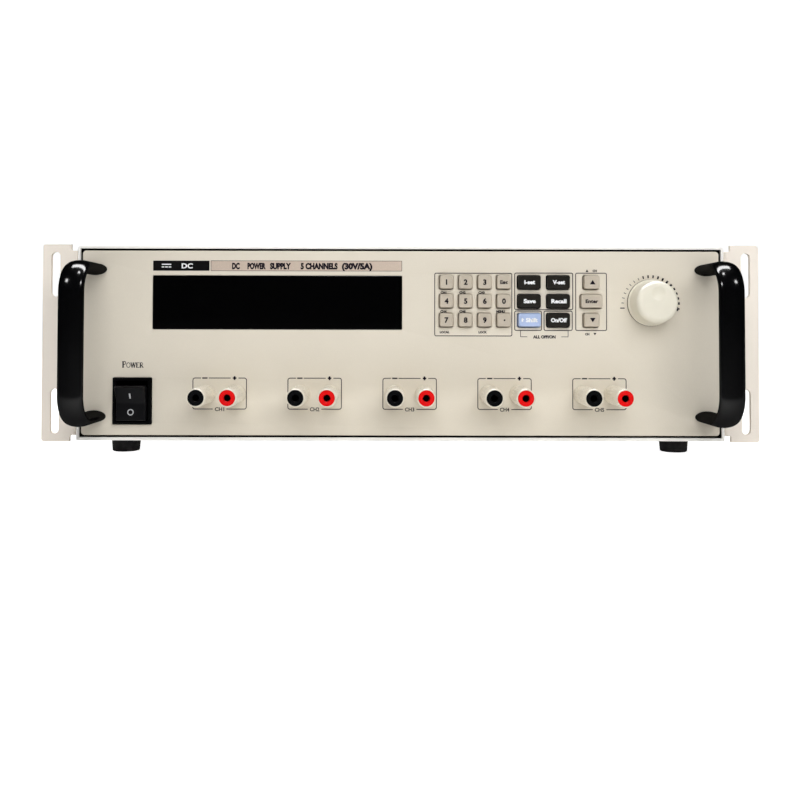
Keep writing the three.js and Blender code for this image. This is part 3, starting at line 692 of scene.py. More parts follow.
INLET_BLACK = moulded("inlet_black", srgb(18, 18, 20), 0.5, depth=0.012, shine=0.25)
FAN_BLACK = moulded("fan_black", srgb(18, 18, 20), 0.45, shine=0.25)
# Painted shade: near-black for the strip that stands for the shadow in the gap round the panel.
PANEL_GAP_SHADE = moulded("panel_gap_shade_black", srgb(7, 7, 7), 0.9, grain=0.6, depth=0.03, shine=0.05)
# Painted shade: a dark brownish colour for the ring that stands for the shadow in the gap under the knob.
KNOB_GAP_SHADE = moulded("knob_gap_shade", srgb(92, 82, 70), 0.9, grain=0.5, depth=0.03, shine=0.05)
FOOT_RUBBER = rubber("foot_rubber")
LEAD_PVC = moulded("lead_pvc", srgb(12, 12, 13), 0.25, grain=1.2, depth=0.01, shine=0.4)
BRASS = metal("nickel_brass", (0.8, 0.66, 0.42), 0.25, (1, 6, 1))
STEEL = metal("zinc_steel", (0.66, 0.66, 0.64), 0.32)
WIRE = metal("bright_wire", (0.78, 0.78, 0.79), 0.15)
ALUMINIUM = metal("extruded_aluminium", (0.72, 0.73, 0.75), 0.35, (6, 0.2, 6))
INK_DARK = ink("dark_legend_ink", srgb(26, 20, 32))
INK_GREY = ink("grey_outline_ink", srgb(58, 50, 54))
INK_WHITE = ink("white_legend_ink", srgb(240, 242, 244))
INK_PALE = ink("pale_switch_mark", srgb(186, 188, 190))
INK_PINK = ink("label_fill_ink", srgb(200, 183, 168))
INK_BLACK = ink("black_label_ink", srgb(9, 8, 9))
# Painted shade: a near-black metal for the unlit insides of the terminals' sockets.
SOCKET_SHADE = metal("socket_bore_shade", (0.03, 0.027, 0.02), 0.5)
TIE_BLACK = moulded("tie_black", srgb(12, 12, 13), 0.4)
CAN_SLEEVE = moulded("capacitor_sleeve", srgb(24, 26, 44), 0.25, grain=2.0)
FERRITE = moulded("choke_core", srgb(60, 62, 58), 0.5)
COPPER = metal("enamelled_copper", (0.72, 0.27, 0.09), 0.22, (1, 1, 5))
RELAY_BLUE = moulded("relay_blue", srgb(34, 74, 140), 0.35)
BOARD = circuit_board("circuit_board")
TAPE = wound_tape("transformer_tape")


# ---- Places on the front panel ----------------------------------------------------------------

PANEL = Box("front_panel")
COVER = Box("top_cover")
RIM = COVER.lo[1]  # the case's front rim, a little in front of the panel's face
SHEET = 2.0  # the case's sheet thickness
PRINT = (-0.045, 0.01)  # y from the top of printed ink to just under the paint
CROSSING = (PRINT[0] - 0.002, PRINT[1])  # a stroke printed across another

KEY_COLUMNS = {
    "1": "1", "2": "2", "3": "3", "escape": "Esc", "4": "4", "5": "5", "6": "6", "0": "0",
    "7": "7", "8": "8", "9": "9", "point": ".", "current_set": "I-set", "voltage_set": "V-set",
    "save": "Save", "recall": "Recall", "shift": "Shift", "output_on_off": "On/Off",
    "up": None, "enter": "Enter", "down": None,
}
DARK_KEYS = ("current_set", "voltage_set", "save", "recall", "output_on_off")
LIP = 0.8  # how far a key's retaining lip reaches past the cap
WINDOW_LIP = 3.0  # how far the window's flange reaches past its pane, behind the panel
LINE = 0.58  # the width of the printed outlines
CHANNELS = range(1, 6)
BUSH_RADIUS = 6.3  # the terminals' bushes and the backs of their caps
BOARD_THICKNESS = 1.6


def key_face(name):
    """A key cap's box without its lip: middle x and z, width, height."""
    b = Box("key_" + name)
    return b.mid[0], b.mid[2], b.size[0] - 2 * LIP, b.size[2] - 2 * LIP


def posts():
    """Every output post: (channel, sign, x, z)."""
    for channel in CHANNELS:
        for sign in ("minus", "plus"):
            b = Box(f"terminal_cap_{channel}_{sign}")
            yield channel, sign, b.mid[0], b.mid[2]


# ---- Case -------------------------------------------------------------------------------------


def make_cover():
    """The folded cover: a rounded U section with vent slots in its top and sides."""
    w, top, bottom = COVER.hi[0], COVER.hi[2], COVER.lo[2]
    outer_bend, inner_bend, rim_radius = 2.6, 0.8, 0.9
    bends = [0, outer_bend, outer_bend, 0, 0, inner_bend, inner_bend, 0]
    inner = [(w - SHEET, bottom), (w - SHEET, top - SHEET), (SHEET - w, top - SHEET), (SHEET - w, bottom)]

    def section(y, inset):
        side, crown = w - inset, top - inset
        outer = [(-side, bottom), (-side, crown), (side, crown), (side, bottom)]
        return [(x, y, z) for x, z in fillet(outer + inner, bends, steps=6)]

    sections = []
    for a in np.radians([90, 67, 45, 22, 0]):
        y, inset = RIM + rim_radius - rim_radius * math.sin(a), rim_radius - rim_radius * math.cos(a)
        sections.append(section(y, inset))
    shell = loft(sections + [section(COVER.hi[1], 0)])
    cutters = []
    side_vents, side_first, side_pitch = 14, 122, 12
    for i in range(side_vents):
        slot = rounded(RIM + side_first + i * side_pitch, 0, 4, 44, 1.95, 5)
        cutters.append(plate(slot, -w - 1, w + 1, edge=0, plane="yz"))
    top_vents, top_first, top_pitch, top_row = 10, -108, 24, 285
    for i in range(top_vents):
        slot = rounded(top_first + i * top_pitch, RIM + top_row, 5, 70, 2.45, 5)
        cutters.append(plate(slot, top - 2 * SHEET, top + 1, edge=0, plane="xy"))
    shape = Shape().add(boolean(shell, join(*cutters)))
    shape.piece("top_cover_skin", "case", "case_paint", [CASE_WHITE], ["top_cover"], bevel=0.35)


def make_panel():
    """The inset front panel, with its rounded corners and a soft edge round every hole."""
    gap, aside, down = 0.5, 0.18, 0.14  # the caps sit a little right of and above their holes' middles
    key_corner, post_radius, shaft_radius = 1.4, 4.6, 4.2
    window, switch, knob = Box("display_window"), Box("switch_body"), Box("adjust_knob")
    holes = []
    for name in KEY_COLUMNS:
        x, z, width, height = key_face(name)
        holes.append(rounded(x - aside, z - down, width + 2 * gap, height + 2 * gap, key_corner))
    for _, _, x, z in posts():
        holes.append(circle(x, z, post_radius))
    pane = window.size - 2 * WINDOW_LIP
    holes.append(rounded(window.mid[0], window.mid[2], pane[0] + 0.5, pane[2] + 0.5, 0.7))
    holes.append(rounded(switch.mid[0], switch.mid[2], switch.size[0] - 3.1, switch.size[2] - 2.6, 0.6))
    holes.append(circle(knob.mid[0], knob.mid[2], shaft_radius))
    outline = rounded(0, 0, PANEL.size[0], PANEL.size[2] - 0.2, 2.2)
    solid = plate(outline, 0, PANEL.hi[1], [hole[::-1] for hole in holes], edge=0.35)
    Shape().add(solid).piece("front_panel_plate", "case", "case_paint", [CREAM], ["front_panel"])


def make_panel_gap_shade():
    """A near-black matt strip in the gap between the panel and the case: painted shade for the dark gap."""
    width, height = 2 * (COVER.hi[0] - SHEET) - 0.1, 2 * (COVER.hi[2] - SHEET) - 0.1
    outer = rounded(0, 0, width, height, 0.5)
    inner = rounded(0, 0, PANEL.size[0] + 0.05, PANEL.size[2] + 0.05, 2.2)
    front, back = 0.9, PANEL.hi[1] - 0.1
    solid = plate(outer, front, back, [inner[::-1]], edge=0.05, steps=1)
    Shape().add(solid).piece("panel_gap_shade_strip", "case", "foot_rubber", [PANEL_GAP_SHADE])


def make_ear(side):
    """A rack ear: one sheet folded back along the case, with slots and relief notches at the fold."""
    b = Box("rack_ear_" + side)
    sign = 1 if side == "right" else -1
    inner, outer = sorted((abs(b.lo[0]), abs(b.hi[0])))
    half, mid = b.size[2] / 2, b.mid[2]
    front, back = b.lo[1], b.hi[1]
    plate_depth, flange, notch, tip = 3.0, 2.5, 4.2, 2.0
    fold = [(inner, front), (outer, front), (outer, front + plate_depth),
            (inner + flange, front + plate_depth), (inner + flange, back), (inner, back)]
    section = fillet(fold, [2.2, 0.4, 0.4, 0.8, 0.6, 0.6], steps=5)
    solid = loft([[(sign * x, y, mid + z) for x, y in section] for z in (-half, half)])

    def cutter(outline, depth):
        return plate([(sign * x, z) for x, z in outline], front - 1, depth, edge=0)

    cutters = []
    slot_x, slot_z = outer - 8.75, 46
    for z in (slot_z, -slot_z):
        slot = rounded(sign * slot_x, mid + z, 6, 30, 2.95, 8)
        cutters.append(plate(slot, front - 1, front + 5, edge=0))
    for end in (1, -1):
        lo, hi = mid + end * (half - notch), mid + end * (half + 2)
        corner = [(inner - 1, hi), (inner - 1, lo), (inner + notch, lo), (inner + notch, hi)]
        cutters.append(cutter(fillet(corner, [0, 0, 1.2, 0]), back + 1))
        x, z = outer - tip, mid + end * (half - tip)
        start = 0 if end > 0 else -90
        round_off = arc(x, z, tip, start, start + 90, 6)
        wedge = [(outer + 2, hi), (outer + 2, z)] + (round_off if end > 0 else round_off[::-1]) + [(x, hi)]
        cutters.append(cutter(wedge, front + 5))
    for each in cutters:
        solid = boolean(solid, each)
    name = f"rack_ear_{side}_bracket"
    Shape().add(solid).piece(name, "case", "case_paint", [EAR_WHITE], ["rack_ear_" + side], bevel=0.3)


def make_handle(side):
    """A bow handle: a flattened oval bar with a wide bend at each end."""
    node = "handle_" + side
    b = Box(node)
    x = b.mid[0]
    half_width, half_depth, bend = 8.1, 4.0, 17.5
    top, bottom = b.hi[2] - half_depth, b.lo[2] + half_depth
    bar, foot = b.lo[1] + half_depth, b.hi[1]
    path = [(y, top) for y in np.linspace(foot, bar + bend, 10)]
    path += arc(bar + bend, top - bend, bend, 90, 180, 20)[1:]
    path += [(bar, z) for z in np.linspace(top - bend, bottom + bend, 24)[1:]]
    path += arc(bar + bend, bottom + bend, bend, 180, 270, 20)[1:]
    path += [(y, bottom) for y in np.linspace(bar + bend, foot, 10)[1:]]
    solid = sweep([(x, y, z) for y, z in path], half_width, half_depth, sides=40)
    Shape().add(solid).piece(node + "_bow", "case", "handle_black", [HANDLE_BLACK], [node], sharp=50)


def make_foot(end, side):
    """A round rubber foot with a soft rim and a recessed screw."""
    node = f"foot_{end}_{side}"
    b = Box(node)
    top, low, radius = b.hi[2], b.lo[2], b.size[0] / 2
    seat = low + 3.5  # the bottom of the screw's recess
    centre = (b.mid[0], b.mid[1], 0)
    pad = [(0, top), (radius, top), (radius - 0.9, low), (6.4, low), (5.6, seat), (0, seat)]
    head = [(0, low + 1.8), (3.6, low + 1.9), (4.2, low + 3.4), (0, low + 3.4)]
    shape = Shape()
    shape.add(lathe(fillet(pad, [0, 0.6, 1.1, 0.5, 0.4, 0], closed=False), 48, centre, "z"))
    shape.add(lathe(fillet(head, [0, 0.8, 0.2, 0], closed=False), 32, centre, "z"), 1)
    shape.piece(node + "_pad", "case", "foot_rubber", [FOOT_RUBBER, STEEL], [node])


# ---- Display and label strip ------------------------------------------------------------------


def make_window():
    """The dark pane, flush in the panel, and the flange that holds it from behind."""
    b = Box("display_window")
    width, height = b.size[0] - 2 * WINDOW_LIP, b.size[2] - 2 * WINDOW_LIP
    front = plate(rounded(b.mid[0], b.mid[2], width, height, 0.6), b.lo[1], b.hi[1] - 0.6, edge=0.25)
    back = plate(rounded(b.mid[0], b.mid[2], b.size[0], b.size[2], 1), PANEL.hi[1] + 0.05, b.hi[1], edge=0.2)
    shape = Shape().add(front).add(back)
    shape.piece("display_window_pane", "case", "window_acrylic", [WINDOW], ["display_window"])


TITLE = (  # word, start after the black plate, width
    ("DC", 15.2, 5.2), ("POWER", 25.6, 12.4), ("SUPPLY", 40.8, 14.2),
    ("5 CHANNELS", 61.5, 25.0), ("(30V/5A)", 89.3, 20.6),
)


def make_label_strip():
    """The strip over the window: a black plate with a supply symbol, then the generic title."""
    window = Box("display_window")
    left, right = window.lo[0] + WINDOW_LIP, window.hi[0] - WINDOW_LIP
    z, height = window.hi[2] - WINDOW_LIP + 6.75, 6.8
    split = left + 38  # where the black plate ends
    low, high = PRINT
    raised = (-0.18, -0.1)  # white ink on the black plate
    black = rounded((left + split) / 2, z, split - left, height, 0.3)
    pale = ((split + right) / 2 + 0.5, z, right - split - 1, height, 0.3)
    shape = Shape()
    shape.add(plate(black, -0.12, high, edge=0.03), 0)
    shape.add(plate(rounded(*pale), low, high, edge=0.01), 1)
    shape.add(stroke(rounded(*pale, 3), 0.28, -0.07, high, closed=True), 2)
    mark = left + 9
    shape.add(stroke([(mark - 3.2, z + 0.9), (mark + 3.2, z + 0.9)], 0.7, *raised), 3)
    for i in (-1, 0, 1):
        x = mark + i * 2.35
        shape.add(stroke([(x - 0.85, z - 0.9), (x + 0.85, z - 0.9)], 0.7, *raised), 3)
    shape.add(words("DC", mark + 14, z, 3.4, *raised, width=7.5, weight=0.03), 3)
    for text, start, width in TITLE:
        shape.add(words(text, split + start, z, 4.0, -0.08, high, width=width, weight=0.065, align="left"), 4)
    shape.piece("label_strip", "case", "legend_ink", [INK_BLACK, INK_PINK, INK_GREY, INK_WHITE, INK_DARK])


# ---- Panel printing ---------------------------------------------------------------------------


def frame_line(x0, x1, z0, z1):
    """A printed rectangle with rounded corners."""
    outline = rounded((x0 + x1) / 2, (z0 + z1) / 2, x1 - x0, z1 - z0, 1.0, 4)
    return stroke(outline, LINE, *PRINT, closed=True)


def make_key_printing():
    """The outlines round the keypad's groups, and the small words under the keys."""
    lines, letters = Shape(), Shape()
    one, nine, esc = key_face("1"), key_face("9"), key_face("escape")
    iset, vset = key_face("current_set"), key_face("voltage_set")
    shift, onoff = key_face("shift"), key_face("output_on_off")
    up = key_face("up")
    top = one[1] + one[3] / 2 + 1.7
    low = nine[1] - nine[3] / 2 - 5.8
    lines.add(frame_line(one[0] - 7.8, esc[0] + 5.7, low - 0.5, top - 0.2))
    split = (iset[1] + shift[1]) / 2 - 6.3
    left, right = iset[0] - 9.7, vset[0] + 9.9
    lines.add(frame_line(left, right, split + 0.6, top))
    base = shift[1] - shift[3] / 2 - 2.5
    lines.add(frame_line(left, shift[0] + 8.4, base, split - 0.4))
    lines.add(frame_line(onoff[0] - 9.5, right - 0.4, base, split - 0.4))
    lines.add(frame_line(up[0] - 10.3, up[0] + 10.5, base, top))
    drop = base - 4.3
    a, b, reach = left + 3.9, right - 3.2, 4.6
    for x, inward in ((a, reach), (b, -reach)):
        lines.add(stroke([(x, base - 0.3), (x, drop), (x + inward, drop)], 0.4, *PRINT))
    lines.piece("keypad_outlines", "case", "legend_ink", [INK_GREY])

    def small(text, x, z, width=None, height=1.5):
        letters.add(words(text, x, z, height, *PRINT, width=width, weight=0.06))

    under = {"1": "CH1", "2": "CH2", "3": "CH3", "4": "CH4", "5": "CH5", "0": "MENU"}
    for name, text in under.items():
        x, z, _, height = key_face(name)
        small(text, x - 1.9, z - height / 2 - 2.5, height=1.6)
    small("LOCAL", one[0] - 1.1, nine[1] - nine[3] / 2 - 3.7)
    small("LOCK", nine[0] - 1.1, nine[1] - nine[3] / 2 - 3.7)
    small("ALL OFF/ON", (a + b) / 2, drop, width=15.2, height=2.0)
    small("CH", up[0] + 2.6, top + 1.6)
    small("CH", up[0] - 2.6, base - 2.4)
    for x, z, tip in ((up[0] - 2.6, top + 1.6, 1), (up[0] + 2.6, base - 2.4, -1)):
        triangle = [(x - 1, z - 0.8 * tip), (x + 1, z - 0.8 * tip), (x, z + 0.9 * tip)]
        letters.add(plate(triangle, *PRINT, edge=0))
    letters.piece("keypad_words", "case", "legend_ink", [INK_DARK])


def make_terminal_printing():
    """A broken outline round each pair of posts, with its signs and channel number."""
    lines, letters = Shape(), Shape()
    places = {(channel, sign): (x, z) for channel, sign, x, z in posts()}
    w, h, r = 18.0, 10.4, 1.4  # half the outline's width and height, and its corners
    sign_gap, word_gap = 2.6, 4.6
    for channel in CHANNELS:
        (xa, z), (xb, _) = places[channel, "minus"], places[channel, "plus"]
        shift, lift = 0.5 * (channel - 3), 0.4  # the printing is spaced a little wider than the posts
        x, xa, xb, z = (xa + xb) / 2 + shift, xa + shift, xb + shift, z + lift
        top, low = z + h, z - h
        left = [(x - word_gap, low), *[(x + px, low + pz) for px, pz in arc(-w + r, r, r, 270, 180, 4)]]
        left += [(x + px, top + pz) for px, pz in arc(-w + r, -r, r, 180, 90, 4)] + [(xa - sign_gap, top)]
        right = [(2 * x - px, pz) for px, pz in left]
        for line in (left, right, [(xa + sign_gap, top), (xb - sign_gap, top)]):
            lines.add(stroke(line, LINE, *PRINT))
        letters.add(stroke([(xa - 1.8, top), (xa + 1.8, top)], 0.9, *PRINT))
        letters.add(stroke([(xb - 1.2, top), (xb + 1.2, top)], 1.0, *PRINT))
        letters.add(stroke([(xb, top - 1.3), (xb, top + 1.3)], 1.1, *CROSSING))
        letters.add(words(f"CH{channel}", x, low, 2.6, *PRINT, width=6.3, weight=0.025))
    lines.piece("terminal_outlines", "case", "legend_ink", [INK_GREY])
    letters.piece("terminal_words", "case", "legend_ink", [INK_DARK])


def serif_glyphs(height):
    """The letters of POWER in a serif face: name to (width, list of (points, stroke width))."""
    h, thick, thin = height, 0.22 * height, 0.1 * height
    foot, head, stem = thin / 2, h - thin / 2, 0.18 * h

    def serif(x, z, reach=0.16):
        return ([(x - reach * h, z), (x + reach * h, z)], thin)

    def bowl(x, z, rx, rz, start, end):
        angles = [math.radians(a) for a in np.linspace(start, end, 17)]
        return [(x + rx * math.cos(a), z + rz * math.sin(a)) for a in angles]

    upright = ([(stem, 0), (stem, h)], thick)
    eye = bowl(0.36 * h, 0.75 * h, 0.24 * h, 0.23 * h, 90, -90)
    p = [upright, serif(stem, foot), serif(stem, head), ([(stem, h - thin), *eye, (stem, 0.5 * h)], 0.11 * h)]
    o = [(bowl(0.42 * h, 0.5 * h, 0.34 * h, 0.46 * h, 0, 360)[:-1], 0.12 * h)]
    tops = [0.08 * h, 0.5 * h, 0.92 * h]
    w = []
    for start, low, end in ((tops[0], 0.3 * h, tops[1]), (tops[1], 0.72 * h, tops[2])):
        w += [([(start, h), (low, 0)], thick * 0.9), ([(low, 0), (end, h)], thin * 1.4)]
    w += [serif(x, head, 0.12) for x in tops]
    e = [upright]
    for x0, x1, z in ((0.04 * h, 0.62 * h, foot), (0.04 * h, 0.6 * h, head), (stem, 0.48 * h, 0.52 * h)):
        e.append(([(x0, z), (x1, z)], thin))
    e += [([(0.6 * h, h), (0.6 * h, 0.82 * h)], thin), ([(0.62 * h, 0), (0.62 * h, 0.2 * h)], thin)]
    leg = ([(0.36 * h, 0.5 * h), (0.68 * h, 0.02 * h)], thick * 0.85)
    r = p + [leg, serif(0.7 * h, foot, 0.08)]
    return {
        "P": (0.68 * h, p), "O": (0.86 * h, o), "W": (1.02 * h, w),
        "E": (0.72 * h, e), "R": (0.82 * h, r),
    }


def make_power_word():
    """POWER in small capitals, over the switch."""
    switch = Box("switch_body")
    z = switch.mid[2] + 24.4
    letters = Shape()
    tall, small = serif_glyphs(4.3), serif_glyphs(3.5)
    plan = [(tall, "P")] + [(small, c) for c in "OWER"]
    gap = -0.05
    total = sum(glyphs[c][0] for glyphs, c in plan) + gap * (len(plan) - 1)
    x = switch.mid[0] - total / 2
    for glyphs, c in plan:
        width, strokes = glyphs[c]
        for points, thickness in strokes:
            placed = [(x + px, z - 2.15 + pz) for px, pz in points]
            letters.add(stroke(placed, thickness, *PRINT, closed=c == "O"))
        x += width + gap
    letters.piece("power_word", "case", "legend_ink", [INK_DARK])


def make_tick_ring():
    """Ticks round the knob that grow from a thin pale minus to a bold plus."""
    knob = Box("adjust_knob")
    cx, cz = knob.mid[0], knob.mid[2] - 1.1
    pale, bold = Shape(), Shape()
    count, thin, radius = 18, 7, 18.8
    for i in range(count):
        angle = math.radians(177 - 175 * i / (count - 1))
        direction = np.array([math.cos(angle), math.sin(angle)])
        centre = np.array([cx, cz]) + radius * direction
        width = 0.42 if i < thin else 0.85 + 0.95 * (i - thin) / (count - 1 - thin)
        target, reach = (pale, 0.85) if i < thin else (bold, 1.0)
        target.add(stroke([centre - reach * direction, centre + reach * direction], width, *PRINT))
    x, z = cx - 19, cz - 2.5
    pale.add(stroke([(x - 1.5, z), (x + 1.5, z)], 0.75, *PRINT))
    x, z = cx + 18.2, cz - 3.0
    bold.add(stroke([(x - 1.4, z), (x + 1.4, z)], 1.05, *PRINT))
    bold.add(stroke([(x, z - 1.4), (x, z + 1.4)], 1.05, *CROSSING))
    pale.piece("tick_ring_pale", "case", "legend_ink", [INK_GREY])
    bold.piece("tick_ring_bold", "case", "legend_ink", [INK_DARK])


# ---- Keys -------------------------------------------------------------------------------------


def shift_arrow(x, z):
    """A broad arrow that points up."""
    return [(x - 0.6, z - 1.2), (x + 0.6, z - 1.2), (x + 0.6, z + 0.1), (x + 1.3, z + 0.1), (x, z + 1.4),
            (x - 1.3, z + 0.1), (x - 0.6, z + 0.1)]


def make_key(name, text):
    """A key cap: a rim round a dished face, straight sides, and the lip that holds it in the panel."""
    node = "key_" + name
    b = Box(node)
    x, z, width, height = key_face(name)
    front, back = b.lo[1], b.hi[1]
    lip = back - 1.0
    loops = []

    def loop(inset, y):
        radius = max(1.3 - inset * 0.8, 0.25)
        outline = rounded(x, z, width - 2 * inset, height - 2 * inset, radius, 6)
        loops.append([(px, y, pz) for px, pz in outline])

    loop(-LIP, back)
    loop(-LIP, lip)
    loop(0, lip)
    for inset, depth in ((0, 0.75), (0.05, 0.42), (0.2, 0.15), (0.42, 0.02), (0.62, 0.0), (0.85, 0.05),
                         (1.15, 0.2), (1.6, 0.3), (2.3, 0.36), (3.2, 0.4)):
        loop(inset, front + depth)
    ink_y = (front + 0.33, front + 0.45)
    shape = Shape().add(loft(loops))
    is_dark, is_shift = name in DARK_KEYS, name == "shift"
    white_ink = is_dark or is_shift
    if text == ".":
        shape.add(plate(circle(x + 0.4, z - 0.2, 0.62, 20), *ink_y, edge=0), 1)
    elif text is None:
        tip = 1 if name == "up" else -1
        x += 0.5
        triangle = [(x - 1.9, z - 1.5 * tip), (x + 1.9, z - 1.5 * tip), (x, z + 1.5 * tip)]
        shape.add(plate(triangle, *ink_y, edge=0), 1)
    elif len(text) == 1:
        shape.add(words(text, x, z, 3.6, *ink_y, weight=0.045), 1)
    else:
        span = {"Esc": 6.2, "Enter": 8.6, "I-set": 7.2, "V-set": 8.3, "Save": 8.2, "Recall": 10.3,
                "Shift": 8.0, "On/Off": 10.8}[text]
        size = 2.4 if name in ("escape", "enter") else 2.7
        along = x + 1.3 if is_shift else x
        shape.add(words(text, along, z, size, *ink_y, width=span, weight=0.05 if white_ink else 0.045), 1)
        if is_shift:
            shape.add(plate(shift_arrow(x - 5.0, z), *ink_y, edge=0), 1)
    color, slot = KEY_CREAM, "key_cream"
    if is_dark:
        color, slot = KEY_BLACK, "key_black"
    if is_shift:
        color, slot = KEY_BLUE, "key_blue"
    shape.piece(node + "_cap", node, slot, [color, INK_WHITE if white_ink else INK_DARK], [node], sharp=60)


# ---- Knob and switch --------------------------------------------------------------------------


def make_knob():
    """The knob: a thin skirt, a tapered grip, a rounded nose and a hollow for a fingertip."""
    b = Box("adjust_knob")
    back, front = b.hi[1], b.lo[1]
    skirt, nose, bore = 15.7, 13.9, 3.1
    side = fillet(
        [(bore, front + 5), (bore, back), (skirt, back), (skirt, back - 1.6), (skirt - 0.8, back - 2.1),
         (nose, front)],
        [0.2, 0.3, 0.4, 0.5, 0.4, 0],
        closed=False,
    )
    rim = arc(nose - 3.6, front + 3.6, 3.6, 8, -90, 16)
    face = [(r, front) for r in np.linspace(nose - 3.6, 0, 22)[1:-1]]
    profile = [(0, front + 5), *side[:-1], *rim, *face, (0, front)]
    verts, faces = lathe(profile, 96, (b.mid[0], 0, b.mid[2]))
    hollow, hollow_radius, hollow_depth = np.array([b.mid[0] + 0.5, b.mid[2] + 5.6]), 4.8, 1.5
    away = np.linalg.norm(verts[:, [0, 2]] - hollow, axis=1)
    on_face = verts[:, 1] < front + 1.5
    depth = hollow_depth * np.clip(1 - (away / hollow_radius) ** 2, 0, 1) ** 1.3
    verts[on_face, 1] += depth[on_face]
    # A thin dark ring under the skirt: painted shade for the gap between the knob and the panel.
    gap_shade_outline = [(4.4, -0.25), (4.4, 0.01), (15.85, 0.01), (15.85, -0.25)]
    gap_shade_ring = ring(gap_shade_outline, 96, (b.mid[0], 0, b.mid[2]))
    Shape().add(gap_shade_ring).piece("knob_gap_shade_ring", "case", "foot_rubber", [KNOB_GAP_SHADE])
    shape = Shape().add((verts, faces))
    shape.piece("adjust_knob_shell", "adjust_knob", "knob_cream", [KNOB_CREAM], ["adjust_knob"])


def make_switch_body():
    """The switch housing: a bevelled bezel, a well for the rocker, and blade lugs at the back."""
    b = Box("switch_body")
    x, z = b.mid[0], b.mid[2]
    width, height = b.size[0], b.size[2]
    well_w, well_h = 20.6, 26.8
    front, back, seat = b.lo[1], b.hi[1] - 8.0, -0.05
    loops = []

    def loop(w, h, y, radius):
        loops.append([(px, y, pz) for px, pz in rounded(x, z, w, h, radius, 5)])

    loop(width - 5, height - 5, back, 0.5)
    loop(width - 3.6, height - 3.1, back - 0.6, 0.7)
    loop(width - 3.6, height - 3.1, seat, 0.7)
    loop(width, height, seat, 0.9)
    loop(width, height, front + 0.9, 0.9)
    loop(width - 0.5, height - 0.5, front + 0.25, 0.9)
    loop(width - 1.3, height - 1.3, front, 0.8)
    loop(well_w + 1.6, well_h + 1.2, front, 0.7)
    loop(well_w + 0.7, well_h + 0.5, front + 0.35, 0.6)
    loop(well_w, well_h, front + 1.2, 0.5)
    loop(well_w, well_h, PANEL.hi[1] + 11.9, 0.5)
    shape = Shape().add(loft(loops))
    for lug_x in (x - 7.6, x + 7.6):
        for lug_z in (z - 5, z + 6):
            lug = block((lug_x - 0.4, back - 1, lug_z - 3), (lug_x + 0.4, b.hi[1], lug_z + 3), 0.15)
            shape.add(lug, 1)
    shape.piece("switch_housing", "case", "switch_black", [SWITCH_BLACK, BRASS], ["switch_body"])


def make_rocker():
    """The rocker: a shallow V with softened edges, tipped so that its upper half stands out."""
    x, z = Box("switch_rocker").mid[0], Box("switch_body").mid[2]
    half, width, face, rise, tilt = 11.9, 19.6, 4.9, 3.2, 11.0
    pivot = (x, RIM + 1.5, z)
    end = -face - rise
    vee = [(-face, 0), (end, half - 0.4), (end + 1.2, half), (-1, half - 1), (5, 6),
           (5, -6), (-1, 1 - half), (end + 1.2, -half), (end, 0.4 - half)]
    outline = fillet(vee, [5, 0.8, 0.7, 0.8, 1, 1, 0.8, 0.7, 0.8], steps=5)
    body = plate(outline, -width / 2, width / 2, edge=0.55, steps=3, plane="yz")
    pin_end, pin_radius = width / 2 + 0.6, 1.5
    pin = [(0, -pin_end), (pin_radius, -pin_end), (pin_radius, pin_end), (0, pin_end)]
    turn = Matrix.Rotation(math.radians(tilt), 4, "X")
    shape = Shape().add(moved(body, pivot, turn)).add(moved(lathe(pin, 24, axis="x"), pivot, turn))
    slope = math.atan2(rise, half - 0.4)
    bar = stroke([(0, -1.9), (0, 1.9)], 1.0, -0.06, 0.04)
    ring = stroke(circle(0, 0, 1.8, 40), 0.66, -0.06, 0.04, closed=True)
    for mark, height in ((bar, 5.0), (ring, -6.1)):
        lean = Matrix.Rotation(math.copysign(slope, height), 4, "X")
        y = -face - abs(height) * rise / (half - 0.4)
        shape.add(moved(moved(mark, (0, y, height), lean), pivot, turn), 1)
    node = "switch_rocker"
    shape.piece("switch_rocker_paddle", node, "switch_black", [ROCKER_BLACK, INK_PALE], [node])


# ---- Output terminals -------------------------------------------------------------------------


def fluted(solid, x, z, count, depth, low, high):
    """Shallow flutes pressed into a turned solid between two distances along its axis."""
    verts, faces = solid
    dx, dz = verts[:, 0] - x, verts[:, 2] - z
    radius = np.hypot(dx, dz)
    angle = np.arctan2(dz, dx)
    fade = np.clip((verts[:, 1] - low) / 1.2, 0, 1) * np.clip((high - verts[:, 1]) / 1.2, 0, 1)
    dip = depth * (0.5 - 0.5 * np.cos(count * angle)) ** 2 * fade * (radius > 5)
    scale = 1 - dip / np.maximum(radius, 1e-6)
    verts = verts.copy()
    verts[:, 0], verts[:, 2] = x + dx * scale, z + dz * scale
    return verts, faces


def make_terminal_cap(channel, sign, x, z):
    """A cap: an ivory sleeve with shallow flutes, and a coloured face with the socket's mouth."""
    node = f"terminal_cap_{channel}_{sign}"
    b = Box(node)
    front, back = b.lo[1], b.hi[1]
    taper, taper_length = front + 12.5, 11  # where the fluted barrel ends, and how far the nose narrows
    barrel = [(BUSH_RADIUS, y) for y in np.linspace(back - 0.6, taper, 12)]
    nose = [(BUSH_RADIUS - 0.25 * t, taper - taper_length * t) for t in np.linspace(0.1, 1, 9)]
    lip = [(6.0, front + 0.9), (5.8, front + 0.35), (5.55, front + 0.15), (5.25, front + 0.25)]
    sleeve = [(3.5, back), (5.9, back), *barrel, *nose, *lip, (5.15, front + 1.6), (3.5, front + 1.6)]
    turned = lathe(sleeve + sleeve[:1], 72, (x, 0, z))
    solid = fluted(turned, x, z, 18, 0.32, front + 12, back - 0.6)
    face = [(2.25, front + 2.1), (5.1, front + 2.1), (5.1, front + 0.25), (4.85, front), (2.7, front),
            (2.25, front + 0.5)]
    color = POST_RED if sign == "plus" else POST_BLACK
    shape = Shape().add(outward(*weld(*solid))).add(ring(face, 48, (x, 0, z)), 1)
    shape.piece(node + "_sleeve", node, "terminal_cream", [POST_CREAM, color], [node])


